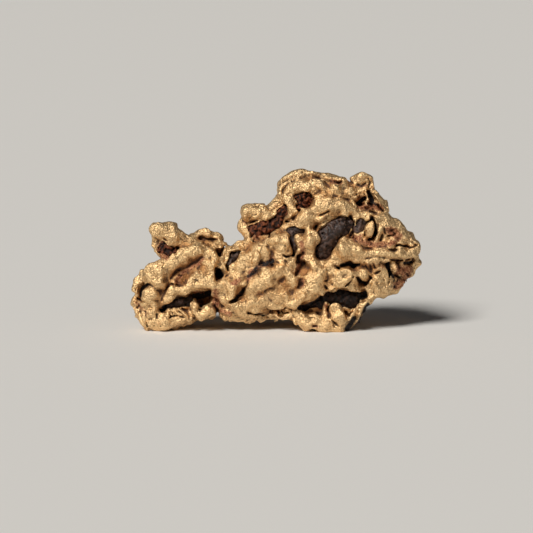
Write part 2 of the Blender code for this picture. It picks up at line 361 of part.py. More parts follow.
def make_hollow_cutter():
    """Every hollow and every grain's pocket, as one closed cutter."""
    shape = bmesh.new()
    for sweep, route in HOLLOWS.values():
        add_fold(shape, route, sweep=sweep * MM)
    for route in GRAINS.values():
        add_fold(shape, route, swell=GRAIN_CLEARANCE)
        mouth = [(x, y - 1.6, z, 0.85 * r) for x, y, z, r in route]
        add_fold(shape, mouth, sweep=1.4 * MM)
    cutter = new_object("hollow_cutter", shape)
    add_remesh(cutter, HOLLOW_VOXEL)
    return cutter


def make_floor_cutter():
    """A slab whose top face is the floor. What the folds reach below it is worn flat."""
    shape = bmesh.new()
    bmesh.ops.create_cube(shape, size=1.0)
    bmesh.ops.scale(shape, vec=(80 * MM, 60 * MM, 10 * MM), verts=shape.verts)
    bmesh.ops.translate(shape, vec=(0, 0, -5 * MM), verts=shape.verts)
    return new_object("floor_cutter", shape)


def make_folds(name, tables, lump_height):
    """The folds of a few tables as one skin, roughened by lumps of the given height."""
    shape = bmesh.new()
    for folds in tables:
        for route in folds.values():
            add_fold(shape, route)
    skin = new_object(name, shape)
    add_remesh(skin, GOLD_VOXEL)
    add_smooth(skin, SMOOTHING_PASSES)
    add_lumps(skin, "VORONOI", LUMP_SIZE, -lump_height)
    return skin


def make_gold(hollows, floor, material):
    """Cores and back folds, roughened; then the front folds, the hollows and the worn feet."""
    gold = make_folds("gold_nugget", (CORES, BACK_FOLDS), BACK_LUMP_HEIGHT)
    front = make_folds("front_folds", (FRONT_FOLDS,), FRONT_LUMP_HEIGHT)
    add_lumps(gold, "CLOUDS", SWELL_SIZE, SWELL_HEIGHT)
    add_remesh(gold, GOLD_VOXEL)
    add_remesh(front, GOLD_VOXEL)
    add_boolean(gold, front, "UNION")
    add_remesh(gold, GOLD_VOXEL)
    add_boolean(gold, hollows, "DIFFERENCE")
    add_remesh(gold, GOLD_VOXEL)
    add_smooth(gold, SMOOTHING_PASSES)
    thin_to(gold, GOLD_TRIANGLES)
    add_boolean(gold, floor, "DIFFERENCE")
    gold.data.materials.append(material)
    return gold, front


def centre_on_floor(frame, nodes):
    """Moves the whole nugget so that the row frame's origin is at the middle of its box, on the floor."""
    bpy.context.view_layer.update()
    graph = bpy.context.evaluated_depsgraph_get()
    corners = []
    for node in nodes:
        evaluated = node.evaluated_get(graph)
        corners += [evaluated.matrix_world @ vertex.co for vertex in evaluated.data.vertices]
    for axis in (0, 1):
        side = [corner[axis] for corner in corners]
        frame.location[axis] -= (min(side) + max(side)) / 2


def main():
    for obj in list(bpy.data.objects):
        bpy.data.objects.remove(obj)
    gold_metal = metal_material("gold", GOLD_COLOUR, 0.38, 1.0)
    ironstone = metal_material("ironstone", IRONSTONE_COLOUR, 0.45, 0.0)

    frame = bpy.data.objects.new("nugget_frame", None)
    bpy.context.scene.collection.objects.link(frame)
    frame.rotation_euler.x = -LEAN_BACK
    frame.location.z = -FLOOR_UNDER_FACE

    hollows = make_hollow_cutter()
    floor = make_floor_cutter()
    gold, front = make_gold(hollows, floor, gold_metal)
    grains = [make_grain(name, route, ironstone) for name, route in GRAINS.items()]
    for node in (gold, front, hollows, *grains):
        node.parent = frame
    centre_on_floor(frame, [gold, *grains])


main()
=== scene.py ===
# %% [markdown]
# # A gold nugget, dressed in Blender
#
# A nugget is one lump of native gold that grew and was squeezed round pieces of ironstone. Its rough solid
# comes from the CAD model, which gives the true size and the place of every stone. This lesson gives that
# solid its skin: sharp folds, pits, cracks, a hammered satin surface, and rust in the hollows.
#
# The long tables below are drawings: each row is one fold, hollow, crease, stain or patch of painted
# shadow, and its name says where it is. The code between them is short, and treats every row alike.
#
# The first cell loads the model. It is the fixed frame that everything else is measured from, so nothing in
# it is moved. Lengths below are in millimetres, because the nugget is 45 mm long, and are turned into
# Blender's metres when a mesh is made.

# %% Load the imported model
import math

import bpy
import numpy as np
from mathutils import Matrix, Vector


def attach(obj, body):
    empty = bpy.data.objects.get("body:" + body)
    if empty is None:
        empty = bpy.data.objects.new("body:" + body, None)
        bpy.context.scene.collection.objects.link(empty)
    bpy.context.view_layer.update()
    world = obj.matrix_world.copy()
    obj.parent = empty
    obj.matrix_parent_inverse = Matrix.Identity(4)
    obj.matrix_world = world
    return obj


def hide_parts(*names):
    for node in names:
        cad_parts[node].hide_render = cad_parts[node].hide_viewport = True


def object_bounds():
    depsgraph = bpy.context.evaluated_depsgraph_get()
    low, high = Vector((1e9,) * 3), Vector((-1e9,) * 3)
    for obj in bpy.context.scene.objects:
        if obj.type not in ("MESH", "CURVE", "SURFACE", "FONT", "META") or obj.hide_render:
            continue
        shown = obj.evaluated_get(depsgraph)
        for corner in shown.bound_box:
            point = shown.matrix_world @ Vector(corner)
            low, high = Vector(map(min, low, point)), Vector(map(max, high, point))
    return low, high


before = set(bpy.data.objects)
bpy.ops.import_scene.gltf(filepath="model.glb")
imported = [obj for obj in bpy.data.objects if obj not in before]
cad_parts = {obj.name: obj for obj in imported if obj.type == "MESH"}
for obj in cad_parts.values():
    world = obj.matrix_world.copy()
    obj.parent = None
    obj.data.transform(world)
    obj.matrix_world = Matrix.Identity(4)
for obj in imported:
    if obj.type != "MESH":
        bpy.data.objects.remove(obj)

import openvdb as vdb
from mathutils import Matrix, Vector

cad_low, cad_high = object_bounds()
METRES = 0.001
STONES = sorted(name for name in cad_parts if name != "gold_nugget")
print("CAD box, mm:", [round(v / METRES, 2) for v in (cad_high - cad_low)], "stones:", len(STONES))

# %% [markdown]
# ## The face-on drawing
#
# The nugget was measured in a drawing of its face: x to the right, z up, and y into the picture, so a
# smaller y is nearer to the viewer. To stand on the floor it leans back a little. One turn and one shift
# take every place of the drawing to the frame, and the camera uses the same turn, so it sees the face as
# it was drawn.

# %% The lean of the nugget
LEAN_BACK = math.radians(8)
lean = Matrix.Rotation(-LEAN_BACK, 3, "X")
DRAWING_ORIGIN = Vector((0.0, -2.51, -0.6))


def from_drawing(x, y, z):
    """A place in the face-on drawing, as a place in the frame, both in millimetres."""
    return lean @ Vector((x, y, z)) + DRAWING_ORIGIN


# %% [markdown]
# ## Camera
#
# A long lens from a third of a metre keeps the near and far sides of a small thing at almost the same
# scale, as close-up pictures of minerals do. The field of view is worked out from the width that the
# picture shows, so it can be changed by changing one length.

# %% Camera
PICTURE_WIDTH = 85.28      # mm of the drawing from the left edge of the picture to the right
CAMERA_DISTANCE = 350.0    # mm
PICTURE_CENTRE = (-1.52, 0.0, 10.48)
SENSOR_WIDTH = 36.0        # mm, Blender's own
NEAREST_SEEN = 0.01        # m

camera_data = bpy.data.cameras.new("camera")
camera_data.sensor_width = SENSOR_WIDTH
camera_data.lens = SENSOR_WIDTH * CAMERA_DISTANCE / PICTURE_WIDTH
camera_data.clip_start = NEAREST_SEEN
camera = bpy.data.objects.new("camera", camera_data)
bpy.context.scene.collection.objects.link(camera)
bpy.context.scene.camera = camera

target = from_drawing(*PICTURE_CENTRE)
backwards = lean @ Vector((0, -1, 0))
camera.location = (target + backwards * CAMERA_DISTANCE) * METRES
camera.rotation_euler = (-backwards).to_track_quat("-Z", "Y").to_euler()
print("camera at, mm:", [round(v / METRES, 1) for v in camera.location])

# %% [markdown]
# ## Floor and light
#
# Metal shows mostly what is round it. One soft lamp high on the left gives the broad bright patches and
# leaves the right and the underside darker, so the folds read as round. A weak lamp on the right and a dim
# sky keep the dark side from going black. The floor is plain and pale.

# %% Floor and light
FLOOR_RADIUS = 6.0         # m, far enough for its edge to be out of every view
FLOOR_CORNERS = 96
FULL_TURN = 2 * math.pi
SKY_COLOUR = (0.80, 0.82, 0.85, 1.0)
SKY_STRENGTH = 0.04


def make_floor():
    rim = [(FLOOR_RADIUS * math.cos(a), FLOOR_RADIUS * math.sin(a), 0.0)
           for a in np.linspace(0, FULL_TURN, FLOOR_CORNERS, endpoint=False)]
    mesh = bpy.data.meshes.new("floor")
    mesh.from_pydata(rim, [], [list(range(len(rim)))])
    floor = bpy.data.objects.new("floor", mesh)
    bpy.context.scene.collection.objects.link(floor)
    return floor


def add_lamp(name, comes_from, spread, strength, colour):
    """A far soft lamp. It comes from a direction, and its spread in degrees is how wide it looks."""
    data = bpy.data.lights.new(name, "SUN")
    data.angle = math.radians(spread)
    data.energy = strength
    data.color = colour
    lamp = bpy.data.objects.new(name, data)
    bpy.context.scene.collection.objects.link(lamp)
    lamp.rotation_euler = (-Vector(comes_from)).to_track_quat("-Z", "Y").to_euler()


floor = make_floor()
add_lamp("key", comes_from=(-0.45, -0.58, 0.75), spread=22, strength=3.35, colour=(1.0, 0.97, 0.92))
add_lamp("fill", comes_from=(0.80, -0.50, 0.45), spread=60, strength=0.08, colour=(0.93, 0.96, 1.0))

world = bpy.data.worlds.new("studio")
bpy.context.scene.world = world
world.use_nodes = True
sky = world.node_tree.nodes["Background"]
sky.inputs["Color"].default_value = SKY_COLOUR
sky.inputs["Strength"].default_value = SKY_STRENGTH
bpy.context.scene.view_settings.view_transform = "Standard"
print("floor and", len(bpy.data.lights), "lamps")

# %% [markdown]
# ## A block of numbers to sculpt in
#
# The skin of a nugget is a soft metal sheet that was folded, pinched and torn. Pushing mesh points about
# can't make one fold run under another. A distance field can: it is a block of cells, and each holds how
# far it is from the surface, with a minus sign inside the gold. Joining two forms is the smaller of two
# numbers, cutting is the larger, and pressing a groove is adding a little. At the end the surface where
# the number is zero becomes a mesh.

# %% The block and its tools
CELL = 0.16                # mm
MARGIN = 1.3               # mm of empty cells round the CAD box
BAND = 8.0                 # cells, how far from the surface the CAD distances are kept
SLOWEST_WAVE = 1e-6        # waves in a mm, to keep the logarithm below from meeting zero
SIZE_SPREAD = 0.35         # how far a noise's lumps may differ in size, as a logarithm

block_low = np.array(cad_low) / METRES - MARGIN
block_shape = tuple(int(n) for n in np.ceil((np.array(cad_high) / METRES + MARGIN - block_low) / CELL))
axes = [block_low[i] + CELL * np.arange(block_shape[i], dtype=np.float32) for i in range(3)]


def cad_distance(name):
    """The distance field of one CAD node. Its loose triangles are read, and nothing in it is changed."""
    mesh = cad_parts[name].data
    places = np.empty(len(mesh.vertices) * 3, np.float32)
    mesh.vertices.foreach_get("co", places)
    mesh.calc_loop_triangles()
    corners = np.empty(len(mesh.loop_triangles) * 3, np.int32)
    mesh.loop_triangles.foreach_get("vertices", corners)
    grid = vdb.FloatGrid.createLevelSetFromPolygons(
        (places.reshape(-1, 3) / METRES - block_low).astype(np.float32),
        triangles=corners.reshape(-1, 3).astype(np.uint32),
        transform=vdb.createLinearTransform(voxelSize=CELL), halfWidth=BAND)
    field = np.full(block_shape, BAND * CELL, np.float32)
    grid.copyToArray(field)
    return field


def soft_min(a, b, blend):
    """The smaller of two distances, with the corner between them rounded over a blend in mm."""
    near = np.maximum(blend - np.abs(a - b), 0) / blend
    return np.minimum(a, b) - near * near * blend / 4


def soft_max(a, b, blend):
    return -soft_min(-a, -b, blend)


wave = np.meshgrid(*[np.fft.fftfreq(n, CELL).astype(np.float32) for n in block_shape[:2]],
                   np.fft.rfftfreq(block_shape[2], CELL).astype(np.float32), indexing="ij", sparse=True)
waves_per_mm = np.sqrt(wave[0] ** 2 + wave[1] ** 2 + wave[2] ** 2)


def blur(field, radius):
    """A Gaussian blur of the block, radius in mm."""
    keep = np.exp(-2 * (math.pi * radius * waves_per_mm) ** 2)
    return np.fft.irfftn(np.fft.rfftn(field) * keep, s=block_shape, axes=(0, 1, 2)).astype(np.float32)


def noise(size, seed):
    """Smooth random lumps about size mm apart, spread about 0 with a standard deviation of 1."""
    grains = np.random.default_rng(seed).standard_normal(block_shape, dtype=np.float32)
    keep = np.exp(-np.log(np.maximum(waves_per_mm, SLOWEST_WAVE) * size) ** 2 / (2 * SIZE_SPREAD ** 2))
    made = np.fft.irfftn(np.fft.rfftn(grains) * keep, s=block_shape, axes=(0, 1, 2)).astype(np.float32)
    return made / made.std()


gold = cad_distance("gold_nugget")
print("block of", block_shape, "cells, gold fills", int((gold < 0).sum()) * CELL ** 3 // 1, "mm3")

# %% [markdown]
# ## Folds of gold
#
# Seen close, the nugget is a heap of rounded folds, like dough that was rolled and pressed together. Each
# fold here is a chain of balls, (x, y, z, radius) in the drawing, joined by tapering rods. Most are those
# that the CAD solid was made from, so the form stays the same and its edges get sharper. The second table
# holds those that lie over a stone or a hollow, with strands, bars and beads too thin for the solid.

# %% The folds
FRONT_FOLDS = {
    # The western arm, knob first, round its rim and down to its foot.
    "west knob": [(-18.3, -1.4, 15.8, 1.75), (-16.8, -1.5, 15.4, 1.75), (-15.4, -1.6, 14.6, 1.3),
        (-13.6, -1.9, 14.0, 0.95), (-11.9, -2.0, 13.7, 0.8)],
    "cup rim": [(-18.9, -0.9, 14.6, 0.6), (-19.1, -1.0, 13.3, 0.5), (-18.4, -1.2, 12.2, 0.5),
        (-17.2, -1.5, 11.8, 0.5), (-15.8, -1.8, 12.2, 0.6)],
    "cup back": [(-17.8, 0.7, 13.4, 1.3), (-16.4, 0.6, 13.0, 1.3), (-15.2, 0.6, 12.6, 1.2)],
    "leaf": [(-13.9, 0.0, 15.0, 0.5), (-12.4, -0.3, 15.4, 0.85), (-10.6, -0.6, 15.5, 1.0),
        (-9.2, -0.5, 15.1, 0.8)],
    "leaf stalk": [(-12.9, -1.2, 14.3, 0.9), (-11.9, 0.2, 13.8, 1.2), (-10.6, 0.4, 13.6, 1.3)],
    "upper west fold": [(-19.6, -2.5, 8.2, 1.5), (-18.3, -2.9, 9.5, 1.6), (-16.3, -3.1, 11.1, 1.35),
        (-14.2, -3.2, 12.2, 1.25), (-12.4, -3.1, 12.8, 1.15)],
    "west flap": [(-18.9, -3.0, 9.8, 1.5), (-18.7, -3.3, 8.4, 1.35), (-18.4, -3.3, 7.2, 0.8)],
    "upper west turn": [(-11.2, -2.9, 12.4, 1.2), (-10.1, -2.9, 11.6, 1.3), (-9.9, -2.8, 10.2, 1.1)],
    "arm crest": [(-10.6, -1.2, 13.5, 1.15), (-9.2, -1.3, 13.4, 1.1), (-8.0, -1.4, 12.8, 0.9)],
    "west rim": [(-20.4, -1.7, 9.6, 0.7), (-21.8, -1.3, 8.4, 0.7), (-22.3, -1.2, 6.8, 0.6),
        (-22.0, -1.3, 5.2, 0.6)],
    "west block": [(-19.9, -2.8, 6.2, 1.35), (-19.7, -2.7, 4.8, 1.35), (-19.0, -2.5, 3.9, 1.0)],
    "west foot": [(-22.0, -1.2, 4.4, 0.85), (-21.7, -1.6, 3.2, 0.9), (-20.9, -1.8, 1.9, 0.95),
        (-19.8, -1.9, 1.2, 0.95)],
    "west foot lobe": [(-19.2, -2.3, 1.8, 1.45), (-17.5, -2.4, 1.9, 1.6), (-15.8, -2.3, 2.1, 1.2),
        (-14.2, -2.3, 2.5, 0.7)],
    "block foot": [(-20.6, -2.4, 3.4, 0.9), (-19.6, -2.6, 2.9, 0.8)],
    "middle west fold": [(-17.5, -2.9, 5.4, 1.0), (-15.8, -3.2, 6.5, 1.25), (-13.8, -3.4, 7.2, 1.35),
        (-11.8, -3.5, 7.9, 1.3), (-9.6, -3.5, 7.4, 1.2)],
    "middle ridge east": [(-9.6, -3.5, 7.4, 1.2), (-7.4, -3.6, 7.5, 1.2), (-5.6, -3.7, 8.4, 1.0)],
    "trough end": [(-11.8, -3.2, 9.6, 1.1), (-10.6, -3.1, 10.2, 1.15), (-10.4, -3.0, 9.0, 1.1)],
    "trough floor": [(-16.2, -2.2, 8.2, 1.2), (-14.2, -2.3, 9.6, 1.3), (-12.4, -2.3, 10.6, 1.2)],
    "ridge meeting": [(-10.6, -3.0, 9.6, 1.25), (-9.9, -3.2, 8.4, 1.25), (-9.4, -3.2, 7.6, 1.1)],
    "heart back": [(-12.9, -2.4, 3.6, 0.9), (-11.6, -2.2, 3.0, 0.8), (-10.5, -2.4, 3.6, 1.0)],
    "stained neck": [(-9.4, -1.9, 6.7, 0.9), (-9.3, -1.8, 5.0, 0.9), (-9.2, -1.7, 3.2, 0.8)],
    "hole divider": [(-7.8, -2.5, 12.8, 0.55), (-8.3, -2.8, 11.5, 0.5), (-8.2, -2.9, 10.4, 0.45),
        (-7.5, -2.9, 9.4, 0.5)],
    "notch bump": [(-6.4, -1.6, 13.2, 1.0), (-5.4, -1.8, 13.2, 1.15), (-3.9, -2.1, 12.7, 1.0)],
    # The centre, where broad folds run up to the right.
    "upper centre fold": [(-6.6, -3.3, 9.6, 0.9), (-5.1, -3.6, 10.8, 1.15), (-3.3, -3.8, 12.2, 1.45),
        (-1.5, -3.8, 13.0, 1.4), (0.6, -3.8, 14.2, 1.75)],
    "fold root": [(-6.6, -3.4, 10.2, 1.0), (-6.2, -3.5, 9.3, 0.9), (-5.4, -3.7, 8.7, 0.8)],
    "centre knuckle": [(0.6, -3.9, 12.0, 1.2), (1.8, -3.9, 12.4, 1.0)],
    "lower centre fold": [(-4.4, -3.9, 5.4, 0.9), (-3.4, -4.0, 7.2, 1.35), (-1.9, -4.0, 8.6, 1.75),
        (0.2, -4.0, 9.6, 1.65), (2.0, -4.0, 10.6, 1.4), (2.8, -4.0, 11.5, 1.0)],
    "south lump": [(-8.0, -3.1, 6.6, 1.5), (-6.8, -3.3, 5.4, 1.5), (-6.6, -3.3, 4.4, 1.35)],
    "south apron": [(-7.9, -2.5, 3.4, 1.0), (-5.8, -2.9, 3.6, 1.3), (-3.4, -2.9, 4.0, 1.35),
        (-1.0, -2.9, 4.6, 1.4), (1.2, -3.1, 5.0, 1.5)],
    "stained sag": [(-3.0, -3.3, 5.2, 1.4), (-0.8, -3.5, 6.2, 1.5), (1.4, -3.6, 7.6, 1.6),
        (3.0, -3.7, 9.2, 1.5)],
    "south lip": [(-7.8, -2.0, 2.7, 0.6), (-5.8, -1.9, 2.3, 0.55), (-2.2, -1.7, 2.3, 0.5),
        (1.4, -1.8, 2.5, 0.55)],
    "great bulge": [(6.0, -3.7, 8.6, 1.9), (5.6, -3.7, 6.8, 1.9), (3.8, -3.7, 5.4, 1.6),
        (2.0, -3.6, 4.8, 1.3)],
    # The crown and the western finger.
    "crown ridge": [(1.0, -0.6, 22.8, 1.0), (2.2, -0.8, 24.1, 1.1), (4.3, -0.9, 24.9, 1.05),
        (6.8, -0.9, 24.4, 1.05), (9.1, -0.9, 23.8, 1.2), (11.4, -0.8, 23.3, 1.1)],
    "crown face": [(1.9, -1.9, 21.8, 1.2), (3.2, -2.2, 23.2, 1.1), (5.5, -2.6, 23.0, 1.3),
        (7.9, -2.7, 22.5, 1.4), (10.4, -2.5, 22.0, 1.5), (12.4, -2.1, 21.6, 1.3)],
    "crown cheek": [(2.0, -2.5, 20.4, 1.1), (2.5, -2.9, 18.9, 1.1)],
    "long fold": [(3.2, -3.3, 17.8, 1.2), (4.9, -3.6, 18.9, 1.35), (7.0, -3.7, 19.9, 1.5),
        (9.5, -3.7, 20.3, 1.4), (11.4, -3.4, 19.9, 1.1), (12.8, -3.2, 19.0, 0.9)],
    "stone brow": [(4.6, -4.0, 17.6, 1.1), (6.6, -4.0, 18.2, 1.0)],
    "stone brow east": [(6.8, -4.0, 18.3, 0.8), (8.8, -4.1, 19.1, 0.75), (10.6, -4.0, 19.5, 0.7),
        (12.4, -3.8, 19.0, 0.7)],
    "shoulder bead": [(-0.2, -1.3, 20.5, 0.98), (0.7, -1.5, 20.8, 1.0)],
    "finger top": [(-4.7, -1.8, 18.8, 1.15), (-3.6, -1.9, 19.1, 1.1), (-2.4, -2.0, 18.9, 0.9),
        (-1.2, -1.9, 18.7, 0.85), (0.0, -1.7, 19.4, 0.8)],
    "finger end": [(-4.8, -2.3, 18.7, 0.85), (-4.3, -2.5, 19.3, 0.7)],
    "finger lump": [(-2.9, -2.7, 18.4, 0.75), (-1.9, -2.6, 18.3, 0.8)],
    "finger back lump": [(-3.8, -1.6, 19.6, 0.6), (-1.6, -1.4, 19.2, 0.55)],
    "finger tip": [(-5.2, -1.2, 17.3, 0.65), (-4.9, -1.6, 16.2, 0.8), (-4.4, -1.8, 15.2, 0.75),
        (-3.4, -2.0, 14.3, 0.75), (-2.2, -2.2, 14.2, 0.7)],
    "cavity sill": [(-2.2, -2.2, 14.8, 0.8), (-0.6, -2.4, 15.4, 0.9), (1.0, -2.6, 16.2, 0.8)],
    # The east, round the big stone and out to the point.
    "crown knob": [(13.6, -1.4, 24.1, 1.5), (13.2, -1.2, 22.6, 1.1)],
    "knob curl": [(14.9, -1.0, 24.1, 0.35), (15.2, -1.0, 23.1, 0.35)],
    "sponge rim": [(14.4, -1.6, 22.9, 0.6), (15.8, -1.6, 21.8, 0.55), (16.8, -1.6, 20.5, 0.6),
        (17.4, -1.6, 19.5, 0.45)],
    "sponge floor": [(13.6, -2.2, 19.2, 0.9), (15.4, -2.2, 18.8, 0.9), (17.0, -1.6, 18.4, 0.8)],
    "slit wall": [(17.0, -3.1, 18.0, 1.0), (16.8, -3.3, 16.4, 0.85), (16.5, -3.4, 14.9, 0.8)],
    "east cheek skin": [(17.4, -2.8, 17.0, 1.3), (18.7, -2.5, 15.9, 1.3), (19.9, -2.3, 15.1, 1.2)],
    "east shoulder": [(17.8, -1.4, 17.4, 1.1), (19.5, -1.6, 16.1, 1.1), (21.0, -1.8, 14.9, 1.1),
        (21.8, -1.9, 13.7, 0.9)],
    "shelf lump": [(10.2, -4.0, 12.6, 1.4), (11.0, -4.2, 13.2, 1.8), (12.2, -4.2, 12.8, 1.5)],
    "shelf": [(12.2, -4.3, 12.5, 1.3), (14.0, -4.4, 12.1, 1.1), (16.2, -4.3, 12.2, 1.05),
        (18.4, -3.9, 12.3, 1.0), (20.4, -3.2, 12.5, 1.0), (22.0, -2.3, 12.9, 0.85)],
    "shelf body": [(11.6, -2.4, 12.0, 1.8), (14.8, -2.4, 11.8, 1.6), (18.0, -1.8, 12.0, 1.5)],
    "stone sill": [(5.0, -4.2, 12.2, 0.9), (6.4, -4.4, 11.3, 1.05), (7.6, -4.4, 10.2, 1.0),
        (9.0, -4.3, 10.9, 0.95), (9.6, -4.2, 11.6, 0.9)],
    "egg fold": [(9.6, -4.3, 8.0, 1.3), (10.9, -4.5, 8.8, 1.4), (12.6, -4.3, 9.3, 0.9),
        (14.5, -4.0, 9.1, 0.85), (15.8, -3.6, 8.3, 0.85)],
    "egg bead": [(8.2, -4.0, 7.3, 0.75), (9.2, -4.1, 6.7, 0.65)],
    "cheek top": [(14.2, -3.6, 10.0, 0.75), (15.6, -3.4, 10.5, 1.0), (17.0, -3.0, 10.0, 1.1)],
    "cheek low": [(13.9, -2.8, 7.9, 1.0), (15.2, -3.0, 7.3, 1.15), (16.6, -2.6, 7.0, 1.0)],
    "cheek filling": [(12.0, -1.6, 8.4, 1.9), (15.2, -1.4, 8.6, 2.1), (17.0, -1.0, 9.0, 1.8)],
    "east cheek": [(16.2, -3.2, 11.2, 0.7), (17.1, -2.7, 9.7, 1.05), (17.5, -2.4, 8.0, 1.15),
        (16.6, -2.6, 6.8, 0.95), (15.3, -3.0, 6.9, 0.85)],
    "tooth": [(12.2, -3.6, 8.6, 0.8), (12.2, -3.9, 7.2, 0.85), (11.9, -4.0, 6.2, 0.6)],
    "point underside": [(18.4, -1.4, 10.6, 1.1), (19.8, -1.2, 10.0, 1.2), (21.2, -0.8, 10.2, 1.1),
        (22.0, -0.8, 11.4, 0.9)],
    # The eastern foot, with its egg and the thin strand that closes the lower hollow.
    "east foot": [(3.4, -3.0, 2.7, 1.1), (4.6, -3.2, 1.7, 1.25)],
    "east foot toe": [(6.2, -3.1, 1.6, 1.25), (8.0, -3.2, 1.15, 1.25), (9.6, -3.0, 0.95, 1.1),
        (10.9, -2.6, 1.2, 0.9)],
    "strand back": [(15.6, -1.9, 6.2, 0.7), (14.2, -1.8, 4.6, 0.6), (13.0, -1.7, 3.0, 0.6),
        (12.0, -1.7, 1.6, 0.7)],
    "lip back": [(-7.0, 0.2, 3.0, 0.9), (-2.4, 0.4, 3.0, 1.0), (2.4, 0.4, 3.0, 1.0)],
    "point filling": [(18.2, -1.6, 11.0, 1.4), (20.2, -1.3, 11.2, 1.2), (21.6, -1.2, 12.0, 0.9)],
    "gap filling": [(18.0, -0.9, 9.8, 1.5), (19.2, -0.8, 8.8, 1.1), (18.6, -0.8, 7.2, 1.0),
        (17.4, -0.8, 6.4, 0.8)],
    "sponge back": [(13.8, 0.0, 21.6, 1.5), (15.4, 0.0, 20.4, 1.4), (16.6, -0.2, 19.2, 1.1)],
}

